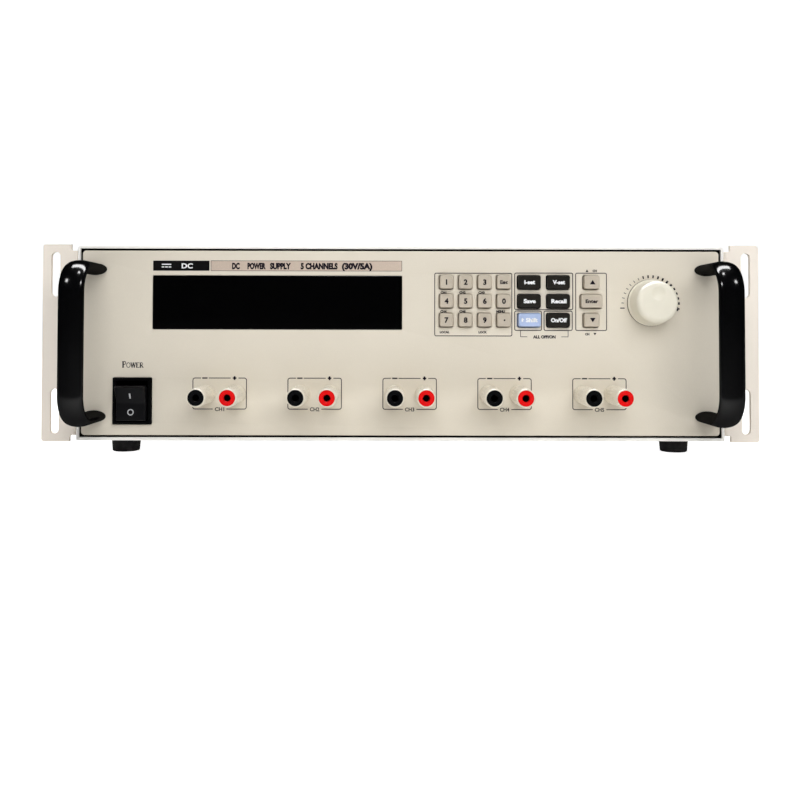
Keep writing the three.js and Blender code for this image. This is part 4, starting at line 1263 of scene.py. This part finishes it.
def stud_profile(front, back):
    """A threaded stud from its chamfered tip to its end in the bush, as (radius, y)."""
    tip, crest, root, pitch = 2.3, 3.0, 2.72, 0.8
    stud = [(0, front + 18), (tip, front + 18), (tip, front), (2.75, front), (crest, front + 0.4)]
    y = front + 4
    while y < back - pitch:
        stud += [(crest, y), (root, y + 0.2), (root, y + 0.35), (crest, y + 0.55)]
        y += pitch
    return stud + [(crest, back + 0.1), (0, back + 0.1)]


def bore_shade_profile(front):
    """A lining painted near-black for the shade deep in a stud's socket, as (radius, y)."""
    deep, end, mouth = front + 17.9, front + 18.6, front - 0.03
    return [(0, deep), (1.9, deep), (1.9, front + 0.6), (2.15, mouth), (2.4, mouth), (2.4, end), (0, end)]


def make_terminal_posts():
    """The fixed parts of the posts: ivory bushes, plated studs with their sockets, and the board."""
    board = Box("terminal_board")
    cap = Box("terminal_cap_1_minus")
    stud_front, bush_front = cap.lo[1] + 2.6, cap.hi[1] + 0.3
    radius, neck = BUSH_RADIUS, 4.3
    bush = [(0, bush_front), (radius, bush_front), (radius, -0.05), (neck, -0.05), (neck, 6), (0, 6)]
    bush = fillet(bush, [0, 0.7, 0.3, 0, 0.3, 0], closed=False)
    nut = fillet([(0, 6.05), (6.2, 6.05), (6.2, 9), (0, 9)], [0, 0.3, 0.3, 0], closed=False)
    tail = [(0, 8.9), (1.6, 8.9), (1.6, board.hi[1]), (0, board.hi[1])]
    shape = Shape()
    for _, _, x, z in posts():
        centre = (x, 0, z)
        shape.add(lathe(bush, 48, centre), 0)
        shape.add(lathe(nut, 6, centre), 1)
        # The socket's lining, painted dark for the shade inside the bore.
        shape.add(lathe(bore_shade_profile(stud_front), 32, centre), 3)
        shape.add(lathe(stud_profile(stud_front, bush_front), 32, centre), 1)
        shape.add(lathe(tail, 16, centre), 1)
    low = (board.lo[0], board.hi[1] - BOARD_THICKNESS, board.lo[2])
    shape.add(block(low, tuple(board.hi), 0.2), 2)
    looks = [POST_CREAM, BRASS, BOARD, SOCKET_SHADE]
    shape.piece("terminal_posts", "case", "terminal_brass", looks, ["terminal_board"])


# ---- Screws -----------------------------------------------------------------------------------


def screw(radius=3.0, height=1.7):
    """A pan head with a cross recess, facing the front, with its seat at y = 0."""
    head = [(0, -height), (radius * 0.55, -height), (radius, -height * 0.45), (radius, 0), (0, 0)]
    solid = lathe(fillet(head, [0, 1.2, 0.9, 0, 0], closed=False), 32)
    arm, half, depth = radius * 0.58, radius * 0.13, height * 0.6
    bars = join(
        block((-arm, -height - 1, -half), (arm, depth - height, half), 0.02),
        block((-half, -height - 1.1, -arm), (half, depth - height - 0.05, arm), 0.02),
    )
    return boolean(solid, bars)


def facing(direction):
    """The turn from facing the front to facing a direction."""
    return Vector((0, -1, 0)).rotation_difference(Vector(direction)).to_matrix().to_4x4()


def make_screws():
    """The case's screws: on the ears' flanges, along the cover's lower edges and on the rear panel."""
    shape = Shape()
    pan = screw()
    ear = Box("rack_ear_right")
    rear = Box("rear_panel")
    chassis = Box("chassis")
    for sign in (-1, 1):
        turn = facing((sign, 0, 0))
        flange = sign * (COVER.hi[0] + 2.55)
        for dy, z in ((14, 42), (14, -42), (34, 42), (34, -42)):
            shape.add(moved(pan, (flange, ear.lo[1] + dy, z), turn))
        for y in (80, 170, 260, 350):
            shape.add(moved(pan, (sign * COVER.hi[0], RIM + y, COVER.lo[2] + 9), turn))
    back = facing((0, 1, 0))
    for x in (rear.lo[0] + 9, 10, rear.hi[0] - 9):
        for z in (rear.lo[2] + 8, rear.hi[2] - 8):
            shape.add(moved(pan, (x, rear.hi[1], z), back))
    down = facing((0, 0, -1))
    for x in (-60, 60):
        for y in (60, 320):
            shape.add(moved(pan, (x, RIM + y, chassis.lo[2]), down))
    shape.piece("case_screws", "case", "screw_zinc", [STEEL])


# ---- Rear -------------------------------------------------------------------------------------


def make_rear_panel():
    """The rear panel: fan opening, a row of vents, and the opening for the mains inlet."""
    b, fan, inlet = Box("rear_panel"), Box("fan_frame"), Box("mains_inlet")
    holes = [circle(fan.mid[0], fan.mid[2], 38, 72)[::-1]]
    holes.append(rounded(inlet.mid[0], inlet.mid[2], 27.3, 48.3, 0.5)[::-1])
    vents, first, pitch = 11, -85, 11
    for i in range(vents):
        holes.append(rounded(first + pitch * i, 0, 4, 60, 1.95)[::-1])
    outline = rounded(b.mid[0], b.mid[2], b.size[0], b.size[2], 1)
    solid = plate(outline, b.lo[1], b.hi[1], holes, edge=0.3)
    Shape().add(solid).piece("rear_panel_sheet", "case", "case_paint", [CASE_WHITE], ["rear_panel"])

    letters = Shape()
    y = b.hi[1]
    mirror = Matrix.Rotation(math.pi, 4, "Z")

    def label(text, x, z, height):
        letters.add(moved(words(text, 0, 0, height, *PRINT, weight=0.015), (x, y, z), mirror))

    label("AC INPUT", inlet.mid[0], inlet.hi[2] + 6, 3.6)
    label("FUSE", inlet.mid[0], inlet.lo[2] - 6, 3.0)
    label("FAN", fan.mid[0], fan.lo[2] - 7, 3.0)
    letters.piece("rear_words", "case", "legend_ink", [INK_DARK])


FAN_HOLE = 35.75  # from the fan's middle to its corner holes, along each side
DIAGONALS = (45, 135, 225, 315)


def make_fan_frame():
    """The fan's housing: two flanges on a round duct, corner bosses, four struts and the motor's seat."""
    b = Box("fan_frame")
    x, z = b.mid[0], b.mid[2]
    y0, y1 = b.lo[1], b.hi[1]
    corners = [(x + i * FAN_HOLE, z + j * FAN_HOLE) for i in (-1, 1) for j in (-1, 1)]
    shape = Shape()
    for low, high in ((y0, y0 + 4), (y1 - 4, y1)):
        holes = [circle(x, z, 38.2, 72)[::-1]] + [circle(cx, cz, 2.2, 20)[::-1] for cx, cz in corners]
        shape.add(plate(rounded(x, z, 80, 80, 4), low, high, holes, edge=0.4))
    duct = [(38, y0 + 0.2), (39.7, y0 + 0.2), (39.7, y1 - 0.2), (38, y1 - 0.2)]
    shape.add(ring(duct, 96, (x, 0, z)))
    tube = [(2.2, y0 + 1), (3.9, y0 + 1), (3.9, y1 - 1), (2.2, y1 - 1)]
    for cx, cz in corners:
        shape.add(ring(tube, 24, (cx, 0, cz)))
    for angle in DIAGONALS:
        turn = Matrix.Rotation(math.radians(angle), 4, "Y")
        shape.add(moved(block((-2, y0, 15), (2, y0 + 3, 38.6), 0.6), (x, 0, z), turn))
    seat = fillet([(0, y0), (17, y0), (17, y0 + 4), (0, y0 + 4)], [0, 0.8, 0.5, 0], closed=False)
    shape.add(lathe(seat, 64, (x, 0, z)))
    shape.piece("fan_housing", "case", "fan_plastic", [FAN_BLACK], ["fan_frame"])


def make_fan_rotor():
    """The rotor: a rounded hub with seven curved, twisted blades, and a plain sticker on its end."""
    b = Box("fan_rotor")
    x, z = b.mid[0], b.mid[2]
    front, back = b.lo[1], b.hi[1]
    hub = fillet([(0, front), (17, front), (17, back), (0, back)], [0, 0.6, 2.0, 0], closed=False, steps=6)
    shape = Shape().add(lathe(hub, 96, (x, 0, z)))
    middle, depth = (front + back) / 2, (back - front) - 1.2
    blades, root, span = 7, 16.4, 19.4
    for i in range(blades):
        loops = []
        for t in np.linspace(0, 1, 9):
            radius = root + span * t
            pitch = math.radians(52 - 18 * t)
            chord = min(depth / math.sin(pitch), 19 + 3 * t)
            sweep_back = math.radians(10 * t**1.5 + 360 * i / blades)
            loop = []
            for a in np.linspace(0, 2 * math.pi, 20, endpoint=False):
                along, across = 0.5 * chord * math.cos(a), 0.75 * math.sin(a) * (1.2 - 0.5 * t)
                across += 1.8 * (1 - (2 * along / chord) ** 2)
                dy = along * math.sin(pitch) + across * math.cos(pitch)
                turn = (along * math.cos(pitch) - across * math.sin(pitch)) / radius + sweep_back
                loop.append((x + radius * math.sin(turn), middle + dy, z + radius * math.cos(turn)))
            loops.append(loop)
        shape.add(loft(loops))
    sticker = [(0, back - 0.05), (12, back - 0.05), (12, back + 0.12), (0, back + 0.12)]
    shape.add(lathe(fillet(sticker, 0.05, closed=False), 48, (x, 0, z)), 1)
    shape.piece("fan_impeller", "fan_rotor", "fan_plastic", [FAN_BLACK, INK_PALE], ["fan_rotor"], sharp=50)


def ring_of_wire(cx, cy, cz, radius, wire, segments=72):
    """A torus round an axis along y."""
    turn = np.linspace(0, 2 * math.pi, 13)
    profile = [(radius + wire * math.cos(a), cy + wire * math.sin(a)) for a in turn]
    return outward(*weld(*lathe(profile, segments, (cx, 0, cz))))


def make_fan_guard():
    """The finger guard: rings on four stays, each stay ending in an eye under a screw."""
    b = Box("fan_guard")
    x, z = b.mid[0], b.mid[2]
    wire, y = 0.85, b.lo[1] + 3.2
    shape = Shape()
    for radius in (12, 22, 32):
        shape.add(ring_of_wire(x, y, z, radius, wire))
    eye, eye_y, bend = FAN_HOLE * math.sqrt(2), b.lo[1] + 0.9, 40
    stay = [(0, y - 1.6, r) for r in np.linspace(11, bend, 6)]
    for t in np.linspace(0.15, 1, 8):
        stay.append((0, eye_y + (y - 2.5 - b.lo[1]) * (1 - t) ** 2, bend + t * (eye - 43.4)))
    for degrees in DIAGONALS:
        angle = math.radians(degrees)
        shape.add(moved(sweep(stay, wire, sides=12), (x, 0, z), Matrix.Rotation(angle, 4, "Y")))
        cx, cz = x + eye * math.sin(angle), z + eye * math.cos(angle)
        shape.add(ring_of_wire(cx, eye_y, cz, 3.2, wire, 32))
        shape.add(moved(screw(3.4, 1.9), (cx, b.lo[1] + 1.3, cz), facing((0, 1, 0))), 1)
    shape.piece("fan_finger_guard", "case", "guard_wire", [WIRE, STEEL], ["fan_guard"], sharp=50)


# ---- Mains inlet and lead ---------------------------------------------------------------------

INLET = Box("mains_inlet")
DRAWER = Box("fuse_drawer")
REAR = Box("rear_panel").hi[1]
SOCKET_Z = INLET.mid[2] + 13
FLANGE = REAR + 2.55  # the inlet flange's outer face
CABLE = 3.7  # the cable's radius
HANK_Y = REAR + 84  # the middle of the hank on the floor


def socket_outline(width, height, x=0.0, z=0.0):
    """A rectangle with its lower corners cut off and every corner softened."""
    w, h, c = width / 2, height / 2, 5  # c is how much each lower corner loses
    points = [(-w, h), (-w, c - h), (c - w, -h), (w - c, -h), (w, c - h), (w, h)]
    return fillet([(x + px, z + pz) for px, pz in points], 0.9, steps=4)


def pin_boxes(grow, low, lengths):
    """The inlet's three blades, or the holes for them."""
    half_width, half_height = 1 + grow, 2 + grow
    out = []
    for dx, dz, length in ((-7, -2, lengths[0]), (7, -2, lengths[0]), (0, 2.5, lengths[1])):
        x, z = INLET.mid[0] + dx, SOCKET_Z + dz
        near = (x - half_width, low, z - half_height)
        out.append(block(near, (x + half_width, low + length, z + half_height), 0.35))
    return out


def make_inlet():
    """The mains inlet: a flange with a recess for the connector and a bay for the fuse drawer."""
    x, z = INLET.mid[0], INLET.mid[2]
    bay = (DRAWER.size[0] + 0.6, DRAWER.size[2] + 0.6)
    holes = [socket_outline(25, 17.4, x, SOCKET_Z), rounded(x, DRAWER.mid[2], *bay, 0.5)[::-1]]
    rim = rounded(x, z, INLET.size[0], INLET.size[2], 3.5)
    floor = FLANGE - 20.6  # the bottom of the recess
    shape = Shape()
    shape.add(plate(rim, REAR + 0.05, FLANGE, holes, edge=0.5, steps=3))
    shape.add(plate(rounded(x, z, 27, 48, 1), floor - 0.2, REAR + 0.6, holes, edge=0.2))
    shape.add(block((x - 13.4, INLET.lo[1], z - 23.9), (x + 13.4, floor, z + 23.9), 0.4))
    shape.add(block((x - 12.9, floor - 0.1, SOCKET_Z - 9), (x + 12.9, FLANGE - 17, SOCKET_Z + 9), 0.1))
    for pin in pin_boxes(0, FLANGE - 18, (14, 16)):
        shape.add(pin, 1)
    for dz in (-25.4, 25.4):
        shape.add(moved(screw(2.5, 1.3), (x, FLANGE, z + dz), facing((0, 1, 0))), 2)
    shape.piece("mains_inlet_shell", "case", "inlet_black", [INLET_BLACK, BRASS, STEEL], ["mains_inlet"])


def make_fuse_drawer():
    """The fuse drawer, with a fingernail slot and the mark of a fuse."""
    b = DRAWER
    x, z, face = b.mid[0], b.mid[2], b.hi[1]
    solid = block(tuple(b.lo), tuple(b.hi), 0.5, 3)
    solid = boolean(solid, block((x - 4, face - 1.4, z - 3.6), (x + 4, face + 1, z - 1.6), 0.2))
    shape = Shape().add(solid)
    body = stroke(rounded(0, 0, 5, 1.8, 0.1, 2), 0.3, -0.06, 0.05, closed=True)
    wire = stroke([(-4.2, 0), (4.2, 0)], 0.3, -0.06, 0.05)
    turn = Matrix.Rotation(math.pi, 4, "Z")
    for part in (body, wire):
        shape.add(moved(part, (x, face, z + 1.8), turn), 1)
    shape.piece("fuse_drawer_block", "fuse_drawer", "inlet_black", [INLET_BLACK, INK_PALE], ["fuse_drawer"])


def smooth_path(points, count):
    """A Catmull-Rom curve through points, evenly resampled."""
    before, after = 2 * np.array(points[0]) - points[1], 2 * np.array(points[-1]) - points[-2]
    p = np.array([before, *points, after], float)
    out = []
    for i in range(1, len(p) - 2):
        for t in np.linspace(0, 1, 24, endpoint=False):
            out.append(0.5 * (2 * p[i] + (p[i + 1] - p[i - 1]) * t
                              + (2 * p[i - 1] - 5 * p[i] + 4 * p[i + 1] - p[i + 2]) * t**2
                              + (3 * p[i] - p[i - 1] - 3 * p[i + 1] + p[i + 2]) * t**3))
    out.append(p[-2])
    out = np.array(out)
    length = np.concatenate([[0], np.cumsum(np.linalg.norm(np.diff(out, axis=0), axis=1))])
    wanted = np.linspace(0, length[-1], count)
    return np.stack([np.interp(wanted, length, out[:, k]) for k in range(3)], axis=1)


def ribbed_relief(start, end, low_r, high_r, centre, axis, ribs=6):
    """A flexible strain relief: a taper with deep rounded ribs."""
    span = end - start
    profile = [(0, start)]
    for i in range(ribs):
        t0, t1 = i / ribs, (i + 0.72) / ribs
        r0 = high_r + (low_r - high_r) * t0
        r1 = high_r + (low_r - high_r) * t1
        profile += [(r0 - 0.35, start + span * t0), (r0, start + span * (t0 + 0.02)),
                    (r1, start + span * (t1 - 0.02)), (r1 - 0.35, start + span * t1)]
        waist = max(r1 - 2.0, low_r - 1.0)
        profile += [(waist, start + span * (t1 + 0.012)), (waist, start + span * ((i + 1) / ribs - 0.012))]
    profile += [(low_r - 0.6, end), (0, end)]
    return lathe(profile, 32, centre, axis)


def hank_path(start, floor):
    """The lead's way down to the floor and back and forth in a tied hank."""
    low = floor + CABLE + 0.05
    high = low + 7.6
    y, left, right = HANK_Y, -118, 128
    x, y0, z = start
    points = [
        (x, y0, z), (x, y0 + 14, z - 4), (x + 8, y0 + 27, z - 24), (x + 26, y + 22, low + 8),
        (-92, y + 14, low), (0, y + 4, low), (80, y + 14, low), (right - 12, y + 15, low), (right, y, low),
        (right - 12, y - 15, low), (80, y - 13, low), (0, y - 4, low), (-70, y - 13, low),
        (left + 12, y - 20, low), (left, y - 8, low + 1), (left + 14, y + 3, high - 2),
        (-60, y + 3, high + 1), (0, y, high), (60, y, high - 1), (98, y, low + 2),
    ]
    path = smooth_path([np.array(p) for p in points], 420)
    path[:, 2] = np.maximum(path[:, 2], low)
    return path


def make_lead():
    """The mains lead: connector, ribbed reliefs, cable in a tied hank, and the plug."""
    x = INLET.mid[0]
    floor = Box("foot_front_left").lo[2]
    back = FLANGE + 1
    end, relief_end = back + 30, back + 60
    shape = Shape()
    nose = plate(socket_outline(24, 16.4, x, SOCKET_Z), FLANGE - 16.2, back + 1, edge=0.4)
    nose = boolean(nose, join(*pin_boxes(0.5, FLANGE - 17, (17, 17))))
    shape.add(nose)
    sections = ((0, 26.6, 19, 2.5), (0.02, 27.6, 20, 3), (0.05, 28, 20.4, 3), (0.42, 28, 20.4, 3),
                (0.5, 25.5, 19, 3.5), (0.8, 21, 17, 5), (0.96, 16.5, 15, 6), (1.0, 14, 13, 6))
    loops = []
    for t, w, h, radius in sections:  # share of the body's length, width, height, corner radius
        loops.append([(px, back + 30 * t, pz) for px, pz in rounded(x, SOCKET_Z, w, h, radius, 6)])
    shape.add(loft(loops))
    for grip_x in (x - 13.7, x + 13.7):
        for i in range(5):
            y = back + 3.5 + 2.0 * i
            shape.add(block((grip_x - 0.6, y, SOCKET_Z - 6), (grip_x + 0.6, y + 1, SOCKET_Z + 6), 0.4))
    shape.add(ribbed_relief(end - 0.5, relief_end, 4.9, 7.0, (x, 0, SOCKET_Z), "y"))
    path = hank_path((x, relief_end - 2, SOCKET_Z), floor)
    shape.add(sweep(path, CABLE, sides=20, up=(0, 0, 1)))
    add_tie(shape, floor)
    add_plug(shape, floor)
    looks = [LEAD_PVC, BRASS, TIE_BLACK]
    shape.piece("mains_lead_cord", "mains_lead", "lead_pvc", looks, ["mains_lead"], sharp=45)


def add_tie(shape, floor):
    """The wire tie round the hank's middle, twisted at the top, with two loose ends."""
    y, low = HANK_Y, floor + CABLE
    half_y, half_z = 2 * CABLE + 1.0, CABLE + 4.4
    loop = []
    for a in np.linspace(0, 2 * math.pi, 49):
        w = abs(math.cos(a)) ** 0.6 * math.copysign(1, math.cos(a))
        h = abs(math.sin(a)) ** 0.75 * math.copysign(1, math.sin(a))
        loop.append((0.6 * math.sin(2 * a), y + half_y * w, low + 4.0 + half_z * h))
    for dx in (-0.5, 0.9):
        shape.add(sweep([(px + dx, py, max(pz, floor + 0.7)) for px, py, pz in loop], 0.55, sides=8), 2)
    top = low + 4.0 + half_z
    for sign in (-1, 1):
        end = []
        for k in np.linspace(0, 9, 20):
            end.append((0.5 * math.sin(k), y + sign * 0.6 * math.cos(k), top + k * 0.35))
        for t in np.linspace(0.1, 1, 8):
            end.append((sign * 2.5 * t, y + sign * (0.6 + 7 * t), top + 3.2 + 3.2 * math.sin(2.4 * t)))
        shape.add(sweep(end, 0.5, sides=8), 2)


def add_plug(shape, floor):
    """The plug at the hank's end, on its back: a ribbed relief, a rounded body, and three blades up."""
    x, y, low = 128, HANK_Y, floor + 0.05
    shape.add(ribbed_relief(113, 91, 4.7, 5.7, (0, y, low + 6.1), "x", ribs=5))
    sections = ((0, 1.6), (0.5, 0.6), (1.6, 0), (12, 0), (15, 0.9), (17, 2.4), (19.5, 3.4), (22.8, 3.8),
                (23.6, 4.4), (24, 5.6))
    loops = []
    for height, inset in sections:
        outline = rounded(x, y, 38 - 2 * inset, 34 - 2 * inset, 12 - 0.8 * inset, 8)
        loops.append([(px, py, low + height) for px, py in outline])
    shape.add(loft(loops))
    for grip_y in (y - 16.8, y + 16.8):
        for i in range(5):
            at = x - 7 + 3 * i
            shape.add(block((at, grip_y - 0.7, low + 4), (at + 1.2, grip_y + 0.7, low + 14), 0.45))
    for dx, dy, lean in ((-3, -8, 60), (-3, 8, 120), (8, 0, 90)):
        turn = Matrix.Rotation(math.radians(lean), 4, "Z")
        tip = block((-0.8, -3.15, 23), (0.8, 3.15, 41), 0.35)
        shape.add(moved(tip, (x + dx, y + dy, low), turn), 1)


# ---- Inside -----------------------------------------------------------------------------------


def make_transformer():
    """The mains transformer: a taped ring under a dished clamp and its bolt."""
    b = Box("transformer")
    x, y = b.mid[0], b.mid[1]
    low, high = b.lo[2], b.hi[2]
    outer, inner, corner = b.size[0] / 2, 24, 12
    winding = fillet([(inner, low), (outer, low), (outer, high), (inner, high)], corner, steps=8)
    shape = Shape().add(ring(winding, 96, (x, y, 0), "z"))
    dish = [(0, high - 1.2), (3.9, high - 1.2), (26, high - 3.4), (46, high + 0.35), (47, high + 1.1),
            (46, high + 1.3), (26, high - 2.2), (0, high)]
    shape.add(lathe(dish, 64, (x, y, 0), "z"), 1)
    bolt = [(0, high + 5.6), (6.2, high + 5.6), (6.6, high + 5.0), (6.6, high + 0.6), (0, high + 0.6)]
    shape.add(lathe(bolt, 6, (x, y, 0), "z"), 1)
    shape.piece("transformer_ring", "case", "winding_tape", [TAPE, STEEL], ["transformer"])


def capacitor(x, y, low):
    """A capacitor's sleeve, and its top with a cross pressed into it."""
    top = low + 39
    can = [(0, low), (11.8, low), (12.5, low + 1), (12.5, top), (0, top)]
    sleeve = lathe(fillet(can, [0, 0.5, 0.6, 1.4, 0], closed=False), 48, (x, y, 0), "z")
    cap = [(0, top + 0.35), (9.8, top + 0.35), (10.4, top - 0.3), (0, top - 0.3)]
    cross = join(
        block((x - 9, y - 0.5, top + 0.1), (x + 9, y + 0.5, top + 1), 0.02),
        block((x - 0.5, y - 9, top + 0.12), (x + 0.5, y + 9, top + 1), 0.02),
    )
    return sleeve, boolean(lathe(cap, 40, (x, y, 0), "z"), cross)


def choke(x, y, low):
    """A choke's core, and its turns of wire."""
    core = fillet([(6, low + 1), (11.8, low + 1), (11.8, low + 10), (6, low + 10)], 2.4, steps=5)
    path = [(6.0, low + 0.9), (12.2, low + 0.9), (12.2, low + 10.2), (5.6, low + 10.2), (5.6, low + 1.4)]
    path = fillet(path, 2.2, closed=False, steps=3)
    turns, wires = 22, []
    for k in range(turns):
        a = math.radians(360 * k / turns)
        points = [(x + r * math.cos(a), y + r * math.sin(a), z) for r, z in path]
        wires.append(sweep(points, 0.45, sides=6, up=(-math.sin(a), math.cos(a), 0)))
    return ring(core, 48, (x, y, 0), "z"), wires


def make_power_board():
    """The regulator board: one row of capacitor, choke and relay for each channel, on pillars."""
    b = Box("power_board")
    x0, x1, y0, y1 = b.lo[0], b.hi[0], b.lo[1], b.hi[1]
    low, high = b.lo[2] + 8, b.lo[2] + 8 + BOARD_THICKNESS
    pillar = [(0, b.lo[2]), (3, b.lo[2]), (3, low), (0, low)]
    inset, first_row, row_pitch = 6, 28, 50
    outline = rounded((x0 + x1) / 2, (y0 + y1) / 2, x1 - x0, y1 - y0, 2)
    shape = Shape().add(plate(outline, low, high, edge=0.1, plane="xy"))
    for x in (x0 + inset, x1 - inset):
        for y in (y0 + inset, y1 - inset):
            shape.add(lathe(pillar, 6, (x, y, 0), "z"), 1)
            shape.add(moved(screw(2.8, 1.6), (x, y, high), facing((0, 0, 1))), 1)
    for i in range(len(CHANNELS)):
        y = y0 + first_row + row_pitch * i
        sleeve, cap = capacitor(-15, y, high)
        core, wires = choke(32, y, high)
        shape.add(sleeve, 2).add(cap, 1).add(core, 3)
        for wire in wires:
            shape.add(wire, 4)
        shape.add(block((60, y - 9, high), (74, y + 9, high + 13.8), 0.6), 5)
        shape.add(block((88, y - 12, high), (98, y + 12, high + 9), 0.4), 6)
    looks = [BOARD, STEEL, CAN_SLEEVE, FERRITE, COPPER, RELAY_BLUE, SWITCH_BLACK]
    shape.piece("regulator_board", "case", "circuit_board", looks, ["power_board"])


# ---- Stage ------------------------------------------------------------------------------------


def make_stage():
    """A pale floor that curves up into the backdrop."""
    floor_z = CAD_BOX[0][2] - 0.0001
    near, run, rise, radius, half_width = -5.0, 2.2, 2.6, 0.9, 6
    section = [(near, 0.0), (run, 0.0)]
    for a in np.linspace(0.1, math.pi / 2, 16):
        section.append((run + radius * math.sin(a), radius - radius * math.cos(a)))
    section.append((run + radius, rise))
    verts = [(x, y, z + floor_z) for x in (-half_width, half_width) for y, z in section]
    count = len(section)
    faces = [[i, i + 1, i + 1 + count, i + count] for i in range(count - 1)]
    mesh = bpy.data.meshes.new("floor")
    mesh.from_pydata(verts, [], faces)
    mesh.polygons.foreach_set("use_smooth", [True] * len(faces))
    mesh.materials.append(paper_floor())
    floor = bpy.data.objects.new("floor", mesh)
    bpy.context.scene.collection.objects.link(floor)


def lamp(name, place, target, size, power, kind="fill"):
    """An area light. A fill lights matt surfaces only, and a gleam only shows in polished ones."""
    light = bpy.data.lights.new(name, "AREA")
    light.shape = "RECTANGLE"
    light.size, light.size_y = size
    light.energy = power
    obj = bpy.data.objects.new(name, light)
    obj.location = place
    obj.rotation_euler = (Vector(target) - Vector(place)).to_track_quat("-Z", "Y").to_euler()
    obj.visible_glossy = kind == "gleam"
    obj.visible_diffuse = kind == "fill"
    bpy.context.scene.collection.objects.link(obj)


def make_light():
    """Softboxes in front, above and behind, a fill on the left, gleams, and a white background.

    The surround is white for the camera alone. It lights the object only faintly, more from above.
    """
    world = bpy.data.worlds.new("studio")
    world.use_nodes = True
    tree = world.node_tree
    background = tree.nodes["Background"]
    background.inputs["Color"].default_value = (1, 1, 1, 1)
    place = tree.nodes.new("ShaderNodeTexCoord")
    split = tree.nodes.new("ShaderNodeSeparateXYZ")
    tree.links.new(place.outputs["Generated"], split.inputs[0])
    level = tree.nodes.new("ShaderNodeMapRange")
    level.inputs["From Min"].default_value = 0.0
    level.inputs["From Max"].default_value = 0.7
    level.inputs["To Min"].default_value = 0.003
    level.inputs["To Max"].default_value = 0.015
    tree.links.new(split.outputs["Z"], level.inputs["Value"])
    seen = tree.nodes.new("ShaderNodeLightPath")
    mix = tree.nodes.new("ShaderNodeMix")
    tree.links.new(seen.outputs["Is Camera Ray"], mix.inputs["Factor"])
    tree.links.new(level.outputs["Result"], mix.inputs["A"])
    mix.inputs["B"].default_value = 1.0
    tree.links.new(mix.outputs["Result"], background.inputs["Strength"])
    bpy.context.scene.world = world
    middle, face = (0, ORIGIN[1], ORIGIN[2]), ORIGIN[1]
    lamp("softbox_key", (0.18, face - 0.85, 0.62), middle, (1.1, 0.8), 8.9)
    lamp("fill_left", (-1.5, face - 0.9, 0.5), middle, (0.6, 0.8), 1.7)
    lamp("softbox_back", (-0.6, face + 2.2, 1.1), middle, (1.4, 0.9), 22)
    lamp("softbox_top", (0, face + 0.1, 1.6), middle, (1.6, 0.9), 8)
    lamp("tube", (0, face + 0.3, 1.3), middle, (1.4, 0.35), 100, "gleam")
    lamp("spark", (0.0, face - 0.3, 1.2), middle, (0.2, 0.15), 5, "gleam")
    for side in (-1, 1):
        lamp("side_spark", (0.9 * side, face - 0.8, 0.9), middle, (0.25, 0.2), 6, "gleam")


def make_camera():
    """The photograph's viewpoint, fitted: nearly straight on, just above mid-height, the frame shifted."""
    camera = bpy.data.cameras.new("camera")
    camera.lens = 40.94
    camera.sensor_width = 36.0
    camera.shift_x = 0.00845
    camera.shift_y = -0.1182
    yaw, pitch, roll = math.radians(0.145), math.radians(1.41), math.radians(0.114)
    obj = bpy.data.objects.new("camera", camera)
    aim = Matrix.Rotation(-yaw, 4, "Z") @ Matrix.Rotation(math.pi / 2 + pitch, 4, "X")
    aside, distance, above = -0.0067, 0.6135, 0.0103
    obj.location = (aside, ORIGIN[1] - distance, ORIGIN[2] + above)
    obj.rotation_euler = (aim @ Matrix.Rotation(roll, 4, "Z")).to_euler()
    bpy.context.scene.collection.objects.link(obj)
    bpy.context.scene.camera = obj


# ---- Everything -------------------------------------------------------------------------------


def repaint(node, material, bevel=0.0):
    """A CAD node that stays gets its finish and softened edges."""
    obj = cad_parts[node]
    obj.data.materials.clear()
    obj.data.materials.append(material)
    if bevel:
        soften(obj, bevel)


make_cover()
make_panel()
make_panel_gap_shade()
for side in ("left", "right"):
    make_ear(side)
    make_handle(side)
    for end in ("front", "back"):
        make_foot(end, side)
make_window()
make_label_strip()
make_key_printing()
make_terminal_printing()
make_power_word()
make_tick_ring()
for name, text in KEY_COLUMNS.items():
    make_key(name, text)
make_knob()
make_switch_body()
make_rocker()
for place in posts():
    make_terminal_cap(*place)
make_terminal_posts()

make_screws()
make_rear_panel()
make_fan_frame()
make_fan_rotor()
make_fan_guard()
make_inlet()
make_fuse_drawer()
make_lead()
make_transformer()
make_power_board()

repaint("chassis", CASE_WHITE, 0.3)
repaint("display_module", BOARD, 0.2)
repaint("control_board", BOARD)
repaint("encoder_shaft", STEEL)
repaint("heatsink", ALUMINIUM, 0.3)

make_stage()
make_light()
make_camera()
bpy.context.scene.view_settings.view_transform = "Standard"
